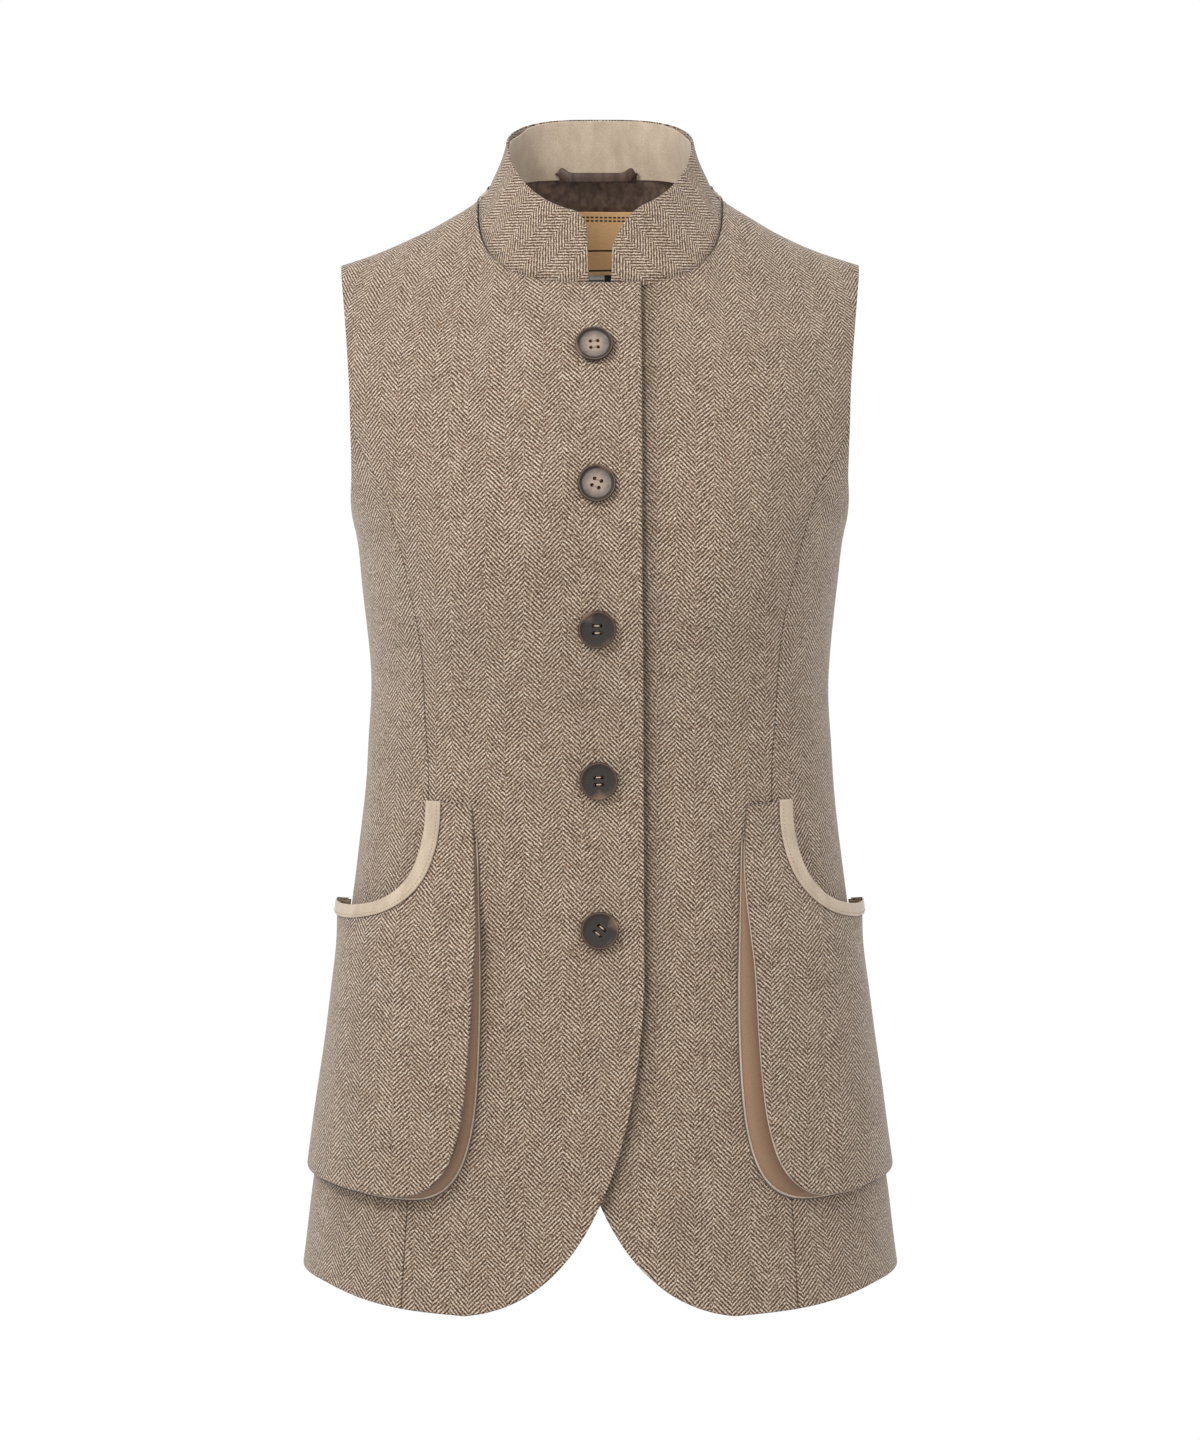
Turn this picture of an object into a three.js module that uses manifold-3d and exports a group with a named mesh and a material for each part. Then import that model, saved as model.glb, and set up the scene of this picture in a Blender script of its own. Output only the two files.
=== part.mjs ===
// A tailored herringbone waistcoat for a woman, filled out as it is worn: stand collar, five
// buttons, cutaway front hem, panel seams from the armholes, and two bellows pockets with a
// curved, trimmed mouth. Millimetres, +Z up. The front faces -Y and +X is the wearer's left.
// The origin lies between the shoulders, level with the sides of the neck.
import * as THREE from "three";
import Module from "manifold-3d";

const wasm = await Module();
wasm.setup();

// Cloth thicknesses and the clearances between pieces
const BODY_WALL = 2.0; // tweed with its interlining and facing
const POCKET_WALL = 1.8;
const COLLAR_WALL = 1.6;
const TRIM_WALL = 1.0;
const LINING_WALL = 0.8;
const GAP = 0.3;
const LAYER_GAP = 0.6; // between layers whose facets don't match
const LABEL_GAP = 0.9;
const LAP_LIFT = BODY_WALL + 0.7; // how far the upper front rides over the lower one

// The body form is the inner face of the cloth. Each row is a level: its half width at the
// side, and its depth at the middle of the front and of the back.
const SQUARENESS = 2.4; // exponent of each level's rounded outline
const LEVELS = [
  { z: -760, half: 211.0, front: 141, back: 138 },
  { z: -720, half: 205.2, front: 138, back: 134 },
  { z: -660, half: 197.4, front: 134, back: 128 },
  { z: -600, half: 188.8, front: 130, back: 121 },
  { z: -540, half: 179.8, front: 125, back: 112 },
  { z: -480, half: 171.0, front: 120, back: 102 },
  { z: -430, half: 164.8, front: 116, back: 95 },
  { z: -390, half: 160.6, front: 115, back: 91 },
  { z: -350, half: 157.9, front: 117, back: 92 },
  { z: -310, half: 159.0, front: 122, back: 98 },
  { z: -265, half: 163.8, front: 126, back: 106 },
  { z: -228, half: 167.6, front: 126, back: 111 },
  { z: -195, half: 177.0, front: 121, back: 113 },
  { z: -165, half: 186.5, front: 114, back: 114 },
  { z: -150, half: 190.0, front: 110, back: 114 },
  { z: -110, half: 190.0, front: 97, back: 112 },
  { z: -60, half: 190.0, front: 77, back: 110 },
  { z: -20, half: 190.0, front: 66, back: 109 },
  { z: 30, half: 190.0, front: 56, back: 108 },
  { z: 70, half: 190.0, front: 50, back: 106 },
];
const BUST = { x: 84, z: -245, rise: 11, across: 46, up: 62 };

// Above CAP_START the cloth turns over the shoulders. A height on the cloth runs on past it,
// and CAP_RISE of it is a quarter turn, up to the shoulder seam on the ridge.
const CAP_START = -150;
const CAP_RISE = 180;
const RIDGE = CAP_START + CAP_RISE;
const NECK_HALF = 84;
const SHOULDER_HALF = 179.5;
// Shoulder line by distance from the middle. Inside the neck it only shapes the neckline.
const RIDGE_LINE = [
  { x: 0, z: 48.7 },
  { x: 20, z: 48.0 },
  { x: 40, z: 43.2 },
  { x: 57, z: 33.2 },
  { x: 70, z: 20.0 },
  { x: 84, z: 2.6 },
  { x: 100, z: -10.2 },
  { x: 120, z: -21.9 },
  { x: 150, z: -35.8 },
  { x: 180, z: -45.6 },
  { x: 200, z: -51.0 },
];

// Neckline: its middle front and back heights, and how square each half is
const NECK_FRONT_Z = -58;
const NECK_BACK_Z = 19.5;
const NECK_SIDE_Z = 2.6;
const NECK_FRONT_POWER = 2 / 2.9;
const NECK_BACK_POWER = 2 / 2.4;
const NECK_BACK_FLATNESS = 5;

// Front edge and cutaway, as distances from the centre front towards the wearer's other side
const EDGE_TOP_X = -28;
const EDGE_LOW_X = -30.5;
const CUTAWAY = new THREE.CubicBezierCurve(
  new THREE.Vector2(EDGE_LOW_X, -537),
  new THREE.Vector2(EDGE_LOW_X, -686),
  new THREE.Vector2(48, -754),
  new THREE.Vector2(91, -754),
);
const HEM = [
  { girth: 0.272, z: -754 },
  { girth: 0.416, z: -751.7 },
  { girth: 0.523, z: -748.4 },
  { girth: 0.592, z: -745.6 },
  { girth: 0.686, z: -742.6 },
  { girth: 0.85, z: -741.4 },
  { girth: 1.06, z: -741 },
  { girth: 1.5, z: -732 },
  { girth: 2, z: -725 },
];

// Panel seam from the hem to the armhole, and the armhole's distance from the middle
const PANEL_SEAM = [
  { z: -760, x: 134 },
  { z: -660, x: 128 },
  { z: -560, x: 121.5 },
  { z: -480, x: 117 },
  { z: -410, x: 115.5 },
  { z: -346, x: 117.5 },
  { z: -302, x: 120.8 },
  { z: -279, x: 124.2 },
  { z: -252, x: 130.2 },
  { z: -225, x: 137.2 },
  { z: -198, x: 146.0 },
  { z: -172, x: 160.4 },
  { z: -156, x: 169.2 },
];
const PANEL_TOP = -156;
const ARMHOLE = [
  { w: -228, x: 167.6 },
  { w: -213, x: 167.6 },
  { w: -192, x: 168.3 },
  { w: -171, x: 168.8 },
  { w: -150, x: 169.4 },
  { w: -128, x: 170.3 },
  { w: -80, x: 174.0 },
  { w: -31, x: 177.4 },
  { w: -5, x: 178.7 },
  { w: 30, x: SHOULDER_HALF },
];
const UNDERARM = -228;
const SIDE = 1.06; // girth of the side seam, a little behind the outline's edge

// Collar: heights and places of its upper edge
const COLLAR_TOP = { half: 64.7, side: 44, front: -10, back: 62, midY: -4, toFront: 58, toBack: 58 };
const COLLAR_BACK_POWER = 2 / 3; // squares its plan at the back
const COLLAR_BACK_FALL = 1.45; // rounds the edge down to its height at the sides
const COLLAR_END_X = 7.5;
const COLLAR_TOP_END_X = 9;
const COLLAR_HEIGHT = 47;
const COLLAR_HOLLOW = 3.5; // how far its middle curves in at the sides
const COLLAR_CORNERS = { right: { along: 10, fall: 13 }, left: { along: 24, fall: 27 } };
const COLLAR_SEAT = 0.5; // its clearance above the panels

// Pocket outline, from its upper front corner round to the side. The gusset is sewn to the
// body along one line and to the pocket's face along the other.
const POCKET_LINE = [
  { gussetX: 89.6, gussetZ: -411, faceX: 91.6, faceZ: -411 },
  { gussetX: 88.4, gussetZ: -440, faceX: 89.6, faceZ: -440 },
  { gussetX: 87.7, gussetZ: -468, faceX: 88.4, faceZ: -467 },
  { gussetX: 87.0, gussetZ: -498, faceX: 88.2, faceZ: -496 },
  { gussetX: 86.7, gussetZ: -532, faceX: 90.4, faceZ: -530 },
  { gussetX: 87.2, gussetZ: -568, faceX: 92.4, faceZ: -564 },
  { gussetX: 89.2, gussetZ: -603, faceX: 95.4, faceZ: -599 },
  { gussetX: 93.2, gussetZ: -633, faceX: 99.6, faceZ: -628 },
  { gussetX: 100.2, gussetZ: -655, faceX: 106.4, faceZ: -651 },
  { gussetX: 110.5, gussetZ: -669, faceX: 116.8, faceZ: -666 },
  { gussetX: 125.0, gussetZ: -676, faceX: 131.0, faceZ: -674 },
  { gussetX: 149.5, gussetZ: -677, faceX: 153.0, faceZ: -675 },
  { gussetX: 174.5, gussetZ: -675, faceX: 176.5, faceZ: -672 },
];
const POCKET_CORNER_ROW = 8;
const POCKET_SIDE = { girth: 1.045, gussetZ: -671, faceZ: -668, mouthZ: -487 };
const MOUTH = [
  { x: 120.6, z: -408 },
  { x: 121.4, z: -425 },
  { x: 124.0, z: -442.5 },
  { x: 129.0, z: -459 },
  { x: 137.5, z: -472 },
  { x: 149.0, z: -480.5 },
  { x: 164.0, z: -485.5 },
];
const TRIM_WIDTH = 9.6;
// The two pockets don't lie quite alike: how far each is from the mean, and how far its face
// stands aside to show the gusset.
const POCKETS = [
  { name: "right", side: -1, shift: -6.3, gape: -3 },
  { name: "left", side: 1, shift: 6.3, gape: 3 },
];

const BUTTON = { radius: 12.9, height: 4.6, holeRadius: 1.15, holeOffset: 2.3 };
const BUTTONS = [
  { x: -3.8, w: -123 },
  { x: -2.3, w: -194.5 },
  { x: -2.1, w: -289.5 },
  { x: -0.9, w: -392.5 },
  { x: -0.2, w: -493.5 },
];

const LABEL = { from: -29, to: 31, top: -1, bottom: -47.5, wall: 0.6 };
const SIZE_TAB = { from: -7.7, to: 3.3, bottom: -59, wall: 0.5 };
const CARE_TAB = { from: 4, to: 10.5, bottom: -58, wall: 0.5 };
const LOOP_SEAT = 12; // how far the loop is in front of the middle of the neck seam
const LOOP = { middle: -2.5, half: 29, height: 6.8, wall: 1.4, z: 17.4, bow: 3.4, turnBack: 5.3 };

// Grid counts
const ROWS_BELOW_PANEL_TOP = 19;
const ROWS_ABOVE_PANEL_TOP = 9;
const FRONT_COLUMNS = 14;
const NECK_COLUMNS = 8; // how many of the front's end at the neckline
const SIDE_COLUMNS = 5;
const BACK_COLUMNS = 11;
const BACK_NECK_COLUMNS = 5;

// Small helpers

const lerp = (a, b, t) => a + (b - a) * t;

function smoothStep(from, to, value) {
  const t = THREE.MathUtils.clamp((value - from) / (to - from), 0, 1);
  return t * t * (3 - 2 * t);
}

// A smooth curve through a table's rows, read at any value of one column.
function readTable(rows, by, column, value) {
  const last = rows.length - 1;
  const rising = rows[last][by] > rows[0][by] ? 1 : -1;
  let i = 0;
  while (i < last - 1 && (value - rows[i + 1][by]) * rising > 0) i++;
  const at = (k) => rows[k][column];
  const key = (k) => rows[k][by];
  const slope = (k) => {
    const low = Math.max(k - 1, 0);
    const high = Math.min(k + 1, last);
    return (at(high) - at(low)) / (key(high) - key(low));
  };
  const span = key(i + 1) - key(i);
  const t = THREE.MathUtils.clamp((value - key(i)) / span, 0, 1);
  const t2 = t * t;
  const t3 = t2 * t;
  return (
    (2 * t3 - 3 * t2 + 1) * at(i) +
    (t3 - 2 * t2 + t) * slope(i) * span +
    (3 * t2 - 2 * t3) * at(i + 1) +
    (t3 - t2) * slope(i + 1) * span
  );
}

// The body form. Girth runs from 0 at the centre front through 1 at the side to 2 at the
// centre back, negative on the wearer's right, and w is the height on the cloth.

function ridgeHeight(x) {
  return readTable(RIDGE_LINE, "x", "z", Math.abs(x));
}

function halfWidth(w) {
  return readTable(LEVELS, "z", "half", Math.min(w, CAP_START));
}

function bareForm(girth, w) {
  const angle = (girth * Math.PI) / 2;
  const turn = (Math.max(0, w - CAP_START) / CAP_RISE) * (Math.PI / 2);
  const sin = Math.sin(angle);
  const cos = Math.cos(angle);
  const reach = (Math.abs(sin) ** SQUARENESS + Math.abs(cos) ** SQUARENESS) ** (-1 / SQUARENESS);
  const x = halfWidth(w) * reach * sin;
  const z = w <= CAP_START ? w : CAP_START + (ridgeHeight(x) - CAP_START) * Math.sin(turn);
  let depth = readTable(LEVELS, "z", cos >= 0 ? "front" : "back", z) * reach * cos;
  if (cos > 0) {
    const across = (Math.abs(x) - BUST.x) / BUST.across;
    const up = (z - BUST.z) / BUST.up;
    depth += BUST.rise * Math.exp(-across * across - up * up);
  }
  return new THREE.Vector3(x, -depth * Math.cos(turn), z);
}

function formNormal(girth, w) {
  const alongGirth = bareForm(girth + 1e-3, w).sub(bareForm(girth - 1e-3, w));
  const up = bareForm(girth, w + 0.5).sub(bareForm(girth, w - 0.5));
  return alongGirth.cross(up).normalize();
}

// A point on the form, moved out along its normal.
function onForm(girth, w, out = 0) {
  return bareForm(girth, w).addScaledVector(formNormal(girth, w), out);
}

// The girth of the point that is x from the middle, on the front half.
function girthAt(x, w) {
  const share = Math.min(Math.abs(x) / halfWidth(w), 0.999999);
  if (share < 1e-9) return 0;
  const angle = Math.atan((share ** -SQUARENESS - 1) ** (-1 / SQUARENESS));
  return (Math.sign(x) * angle) / (Math.PI / 2);
}

// The height on the cloth of a point at x and z on the shoulder part of the form.
function clothHeight(x, z) {
  if (z <= CAP_START) return z;
  const share = Math.min((z - CAP_START) / (ridgeHeight(x) - CAP_START), 1);
  return CAP_START + (CAP_RISE * Math.asin(share)) / (Math.PI / 2);
}

// Solids from grids of points

// A closed wall between two grids of points, rows[i][j], of the same size. Its facets are cut
// on the other diagonal before the column turnAt.
function wallGeometry(outer, inner, turnAt = 0) {
  const rows = outer.length;
  const columns = outer[0].length;
  const positions = [...outer.flat(), ...inner.flat()].flatMap((p) => [p.x, p.y, p.z]);
  const at = (layer, i, j) => layer * rows * columns + i * columns + j;
  const faces = [];
  const quad = (a, b, c, d) => faces.push(a, b, c, a, c, d);
  for (let i = 0; i < rows - 1; i++)
    for (let j = 0; j < columns - 1; j++) {
      const near = [at(0, i, j), at(0, i, j + 1), at(0, i + 1, j + 1), at(0, i + 1, j)];
      const far = [at(1, i, j + 1), at(1, i, j), at(1, i + 1, j), at(1, i + 1, j + 1)];
      if (j < turnAt) near.push(near.shift());
      else far.push(far.shift());
      quad(...near);
      quad(...far);
    }
  for (let j = 0; j < columns - 1; j++) {
    quad(at(0, 0, j + 1), at(0, 0, j), at(1, 0, j), at(1, 0, j + 1));
    quad(at(0, rows - 1, j), at(0, rows - 1, j + 1), at(1, rows - 1, j + 1), at(1, rows - 1, j));
  }
  for (let i = 0; i < rows - 1; i++) {
    quad(at(0, i, 0), at(0, i + 1, 0), at(1, i + 1, 0), at(1, i, 0));
    quad(at(0, i + 1, columns - 1), at(0, i, columns - 1), at(1, i, columns - 1), at(1, i + 1, columns - 1));
  }
  const geometry = new THREE.BufferGeometry();
  geometry.setAttribute("position", new THREE.Float32BufferAttribute(positions, 3));
  geometry.setIndex(faces);
  if (signedVolume(positions, faces) < 0) geometry.setIndex(faces.reverse());
  geometry.computeVertexNormals();
  return geometry;
}

function signedVolume(positions, faces) {
  const [a, b, c] = [new THREE.Vector3(), new THREE.Vector3(), new THREE.Vector3()];
  let six = 0;
  for (let i = 0; i < faces.length; i += 3) {
    a.fromArray(positions, 3 * faces[i]);
    b.fromArray(positions, 3 * faces[i + 1]);
    c.fromArray(positions, 3 * faces[i + 2]);
    six += a.dot(b.cross(c));
  }
  return six;
}

// A patch between four edge lines, each giving [girth, w] at 0 to 1. Low and high run from
// near to far, and near and far run from low to high. With a larger power the shape of the
// high edge is felt less far down.
function patch({ low, high, near, far, power = 1 }) {
  const corners = [near(0), far(0), near(1), far(1)];
  return (u, v) => {
    const top = v ** power;
    return [0, 1].map(
      (k) =>
        (1 - u) * near(v)[k] +
        u * far(v)[k] +
        (1 - top) * low(u)[k] +
        top * high(u)[k] -
        (1 - u) * (1 - top) * corners[0][k] -
        u * (1 - top) * corners[1][k] -
        (1 - u) * top * corners[2][k] -
        u * top * corners[3][k],
    );
  };
}

const evenSteps = (count) => Array.from({ length: count + 1 }, (_, i) => i / count);

// A wall of cloth on the form: a patch's points at out, and again a wall's thickness further.
function clothGeometry(domain, us, vs, side, out, wall, turnAt = 0) {
  const layer = (extra) =>
    vs.map((v) =>
      us.map((u) => {
        const [girth, w] = domain(u, v);
        return onForm(side * girth, w, out(side * girth, w) + extra);
      }),
    );
  return wallGeometry(layer(wall), layer(0), turnAt);
}

// Edge lines of the cut pieces, on the wearer's left side

const SEAM = 0.001; // half a seam's gap, as girth
const SEAM_RISE = 0.35; // half the shoulder seam's gap, as height on the cloth

function hemLine(girth) {
  return [girth, readTable(HEM, "girth", "z", girth)];
}

// The point of the cutaway that is at that x or that height.
function cutawayAt(axis, value, from, to) {
  let [a, b] = [from, to];
  const sign = Math.sign(CUTAWAY.getPoint(b)[axis] - CUTAWAY.getPoint(a)[axis]);
  for (let i = 0; i < 30; i++) {
    const middle = (a + b) / 2;
    if ((CUTAWAY.getPoint(middle)[axis] - value) * sign < 0) a = middle;
    else b = middle;
  }
  return CUTAWAY.getPoint((a + b) / 2);
}

const CUTAWAY_MIDDLE = CUTAWAY.getPoint(0.5);

function neckPoint(degrees, back = degrees > 90) {
  const angle = THREE.MathUtils.degToRad(degrees);
  const [sin, cos] = [Math.sin(angle), Math.cos(angle)];
  const power = back ? NECK_BACK_POWER : NECK_FRONT_POWER;
  const x = NECK_HALF * Math.sign(sin) * Math.abs(sin) ** power;
  const z = back
    ? lerp(NECK_BACK_Z, NECK_SIDE_Z, (x / NECK_HALF) ** NECK_BACK_FLATNESS)
    : lerp(NECK_SIDE_Z, NECK_FRONT_Z, Math.abs(cos) ** power);
  const w = Math.min(clothHeight(x, z), RIDGE - SEAM_RISE);
  const girth = girthAt(x, w);
  return [back ? 2 - girth : girth, w];
}

// The neckline's angle at a distance from the middle of its front.
function neckDegrees(x) {
  const angle = Math.asin((Math.abs(x) / NECK_HALF) ** (1 / NECK_FRONT_POWER));
  return Math.sign(x) * THREE.MathUtils.radToDeg(angle);
}

// The angles at which the panels have a point on the neckline, closer towards its sides
const EDGE_NECK_DEGREES = neckDegrees(EDGE_TOP_X);
const frontNeckDegrees = (t) => lerp(EDGE_NECK_DEGREES, 90, Math.sin((t * Math.PI) / 2));
const backNeckDegrees = (t) => lerp(180, 90, t);

function armholeGirth(w, back) {
  const girth = girthAt(readTable(ARMHOLE, "w", "x", w), w);
  const drift = (SIDE - 1) * smoothStep(-185, UNDERARM, w);
  return w <= UNDERARM ? SIDE : (back ? 2 - girth : girth) + drift;
}

function panelSeam(w) {
  return girthAt(readTable(PANEL_SEAM, "z", "x", w), w);
}

// Rows of a wall, as heights along its far edge: even up to a joint, then even to the top.
function rowHeights(low, joint, top) {
  return [
    ...evenSteps(ROWS_BELOW_PANEL_TOP).map((t) => lerp(low, joint, t)),
    ...evenSteps(ROWS_ABOVE_PANEL_TOP).slice(1).map((t) => lerp(joint, top, t)),
  ];
}

const PANEL_HEM_GIRTH = panelSeam(hemLine(0.41)[1]);
const PANEL_HEM = hemLine(PANEL_HEM_GIRTH);
const SIDE_HEM = hemLine(SIDE);
const SHOULDER_TOP = RIDGE - SEAM_RISE;
const NECK_PATCH_POWER = 4;
const NECK_SHARE = NECK_COLUMNS / FRONT_COLUMNS;
const BACK_NECK_SHARE = BACK_NECK_COLUMNS / BACK_COLUMNS;

function frontPatch() {
  const edgeTop = neckPoint(EDGE_NECK_DEGREES);
  const near = (v) => {
    const z = lerp(CUTAWAY_MIDDLE.y, edgeTop[1], v);
    const straight = lerp(EDGE_LOW_X, EDGE_TOP_X, (z + 537) / (edgeTop[1] + 537));
    const x = z > -537 ? straight : cutawayAt("y", z, 0, 0.5).x;
    return v === 1 ? edgeTop : [girthAt(x, z), z];
  };
  const far = (v) => {
    const w = lerp(PANEL_HEM[1], SHOULDER_TOP, v);
    return [w < PANEL_TOP + 1e-6 ? panelSeam(w) - SEAM : armholeGirth(w, false), w];
  };
  const low = (u) => {
    const girthLow = girthAt(CUTAWAY_MIDDLE.x, CUTAWAY_MIDDLE.y);
    const girth = lerp(girthLow, PANEL_HEM_GIRTH - SEAM, u);
    const x = bareForm(girth, -740).x;
    if (x >= CUTAWAY.v3.x) return hemLine(girth);
    const point = cutawayAt("x", x, 0.5, 1);
    return [u === 0 ? girthLow : girth, point.y];
  };
  const high = (u) => {
    if (u <= NECK_SHARE) return neckPoint(frontNeckDegrees(u / NECK_SHARE), false);
    const x = lerp(NECK_HALF, SHOULDER_HALF, (u - NECK_SHARE) / (1 - NECK_SHARE));
    return [girthAt(x, SHOULDER_TOP), SHOULDER_TOP];
  };
  return patch({ low, high, near, far, power: NECK_PATCH_POWER });
}

const FRONT_ROWS = rowHeights(PANEL_HEM[1], PANEL_TOP, SHOULDER_TOP).map(
  (w) => (w - PANEL_HEM[1]) / (SHOULDER_TOP - PANEL_HEM[1]),
);

function sideFrontPatch() {
  const near = (v) => {
    const w = lerp(PANEL_HEM[1], PANEL_TOP, v);
    return [panelSeam(w) + SEAM, w];
  };
  const far = (v) => [SIDE - SEAM, lerp(SIDE_HEM[1], UNDERARM, v)];
  const low = (u) => hemLine(lerp(near(0)[0], far(0)[0], u));
  const high = (u) => {
    const w = lerp(PANEL_TOP, UNDERARM, 1 - (1 - u) ** 1.6);
    if (u === 0) return near(1);
    return u === 1 ? far(1) : [armholeGirth(w, false), w];
  };
  return patch({ low, high, near, far });
}

function backPatch() {
  const near = (v) => [2 - SEAM, lerp(hemLine(2)[1], neckPoint(180)[1], v)];
  const far = (v) => {
    const w = lerp(SIDE_HEM[1], SHOULDER_TOP, v);
    return [w < UNDERARM + 1e-6 ? SIDE + SEAM : armholeGirth(w, true), w];
  };
  const low = (u) => hemLine(lerp(2 - SEAM, SIDE + SEAM, u));
  const high = (u) => {
    if (u === 0) return near(1);
    if (u <= BACK_NECK_SHARE) return neckPoint(backNeckDegrees(u / BACK_NECK_SHARE), true);
    const x = lerp(NECK_HALF, SHOULDER_HALF, (u - BACK_NECK_SHARE) / (1 - BACK_NECK_SHARE));
    return [2 - girthAt(x, SHOULDER_TOP), SHOULDER_TOP];
  };
  return patch({ low, high, near, far, power: NECK_PATCH_POWER });
}

const BACK_ROWS = rowHeights(SIDE_HEM[1], UNDERARM, SHOULDER_TOP).map(
  (w) => (w - SIDE_HEM[1]) / (SHOULDER_TOP - SIDE_HEM[1]),
);

// The upper front is lifted clear of the lower one where they lap. The back is not.
function lapLift(girth, w) {
  if (Math.abs(girth) > 1) return 0;
  const ownX = -bareForm(girth, w).x;
  return LAP_LIFT * (1 - smoothStep(34, 88, ownX));
}

const flat = () => 0;

// Materials

function cloth(color, roughness = 0.95) {
  return new THREE.MeshStandardMaterial({ color, roughness, metalness: 0 });
}

const tweed = cloth(0x93806d);
const suede = cloth(0xbda88f);
const satin = cloth(0x54463b, 0.6);
const labelCloth = cloth(0xb48f5c, 0.8);
const whiteTape = cloth(0xe4e0d8, 0.8);
const darkTape = cloth(0x3a322b, 0.8);
const lightHorn = cloth(0x85766a, 0.35);
const darkHorn = cloth(0x413c39, 0.35);
const LIGHT_BUTTONS = 2; // the upper ones

const waistcoat = new THREE.Group();

function add(name, geometry, material) {
  const mesh = new THREE.Mesh(geometry, material);
  mesh.name = name;
  waistcoat.add(mesh);
  return mesh;
}

// Body panels

function addBody() {
  for (const [name, side, out] of [
    ["right", -1, lapLift],
    ["left", 1, flat],
  ]) {
    const columns = evenSteps(FRONT_COLUMNS);
    add(
      `front_${name}`,
      clothGeometry(frontPatch(), columns, FRONT_ROWS, side, out, BODY_WALL),
      tweed,
    );
    add(
      `side_front_${name}`,
      clothGeometry(
        sideFrontPatch(),
        evenSteps(SIDE_COLUMNS),
        evenSteps(ROWS_BELOW_PANEL_TOP),
        side,
        flat,
        BODY_WALL,
      ),
      tweed,
    );
    add(
      `back_${name}`,
      clothGeometry(backPatch(), evenSteps(BACK_COLUMNS), BACK_ROWS, side, flat, BODY_WALL),
      tweed,
    );
  }
}

// The lining of the back, which shows through the neck. Its points lie behind the panels' own,
// and away from the waist and the armholes it has only every second row.
const WAIST_ROW = 10;
const LINING_COLUMNS = evenSteps(2 * BACK_COLUMNS).map((t) => lerp(-1, 1, t));
const LINING_ROWS = BACK_ROWS.filter((_, i) => i > WAIST_ROW || i % 2 === 1);
const LINING_FACE = LAYER_GAP + LINING_WALL; // how far its inner face is inside the form

function liningDomain() {
  const half = backPatch();
  return (u, v) => {
    const [girth, w] = half(Math.abs(u), v);
    return [u < 0 ? 4 - girth : girth, w];
  };
}

function addLining() {
  const out = () => -LINING_FACE;
  const grid = [LINING_COLUMNS, LINING_ROWS, 1, out, LINING_WALL, BACK_COLUMNS];
  add("back_lining", clothGeometry(liningDomain(), ...grid), satin);
}

// Collar

// The top of the panels' outer face at any angle round the neckline. Between the panels'
// own points it is straight, as they are.
const RIM_DEGREES = [
  ...evenSteps(NECK_COLUMNS).map(frontNeckDegrees),
  ...evenSteps(BACK_NECK_COLUMNS).map(backNeckDegrees).reverse().slice(1),
];

function neckRim(side, degrees) {
  const k = Math.max(RIM_DEGREES.findIndex((d) => d >= degrees - 1e-9), 1);
  const [from, to] = [RIM_DEGREES[k - 1], RIM_DEGREES[k]];
  const [low, high] = [from, to].map((angle) => {
    const [girth, w] = neckPoint(angle);
    const lift = side < 0 ? lapLift(-girth, w) : 0;
    return onForm(side * girth, w, BODY_WALL + lift);
  });
  return low.lerp(high, (degrees - from) / (to - from));
}

// The way off the neckline that lies in the panels' surface and leads away from them.
function neckOutward(side, degrees) {
  const at = (angle) => {
    const [girth, w] = neckPoint(angle);
    return onForm(side * girth, w);
  };
  const along = at(degrees + 2).sub(at(degrees - 2));
  const [girth, w] = neckPoint(degrees);
  return along.cross(formNormal(side * girth, w)).multiplyScalar(-side).normalize();
}

// A point of the collar's outer face, by its angle round the neck, where 180 is the middle
// of the back, and its rise from the neck seam, at 0, to the upper edge, at 1.
const COLLAR_START = neckDegrees(COLLAR_END_X);

function collarPoint(side, degrees, rise) {
  const base = neckRim(side, degrees);
  base.addScaledVector(neckOutward(side, Math.min(degrees, 178)), COLLAR_SEAT);
  const topStart = Math.asin(COLLAR_TOP_END_X / COLLAR_TOP.half);
  const angle = lerp(topStart, Math.PI, (degrees - COLLAR_START) / (180 - COLLAR_START));
  const cos = Math.cos(angle);
  const power = cos > 0 ? 1 : COLLAR_BACK_POWER;
  const aside = Math.sin(angle) ** power;
  const away = Math.abs(cos) ** power;
  const top = new THREE.Vector3(
    side * COLLAR_TOP.half * aside,
    COLLAR_TOP.midY + (cos > 0 ? -COLLAR_TOP.toFront : COLLAR_TOP.toBack) * away,
    cos > 0
      ? lerp(COLLAR_TOP.side, COLLAR_TOP.front, away)
      : lerp(COLLAR_TOP.side, COLLAR_TOP.back, away ** COLLAR_BACK_FALL),
  );
  const hollow = COLLAR_HOLLOW * 4 * rise * (1 - rise) * Math.sin(angle) ** 2;
  base.lerp(top, rise);
  base.x -= side * hollow;
  return base;
}

// How much of its full height the collar has near its rounded front corner.
function collarHeight(side, degrees, start) {
  const corner = side < 0 ? COLLAR_CORNERS.right : COLLAR_CORNERS.left;
  const along = (THREE.MathUtils.degToRad(degrees - start) * COLLAR_TOP.half) / corner.along;
  if (along >= 1) return 1;
  return 1 - (corner.fall * (1 - Math.sqrt(1 - (1 - along) ** 2))) / COLLAR_HEIGHT;
}

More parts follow.
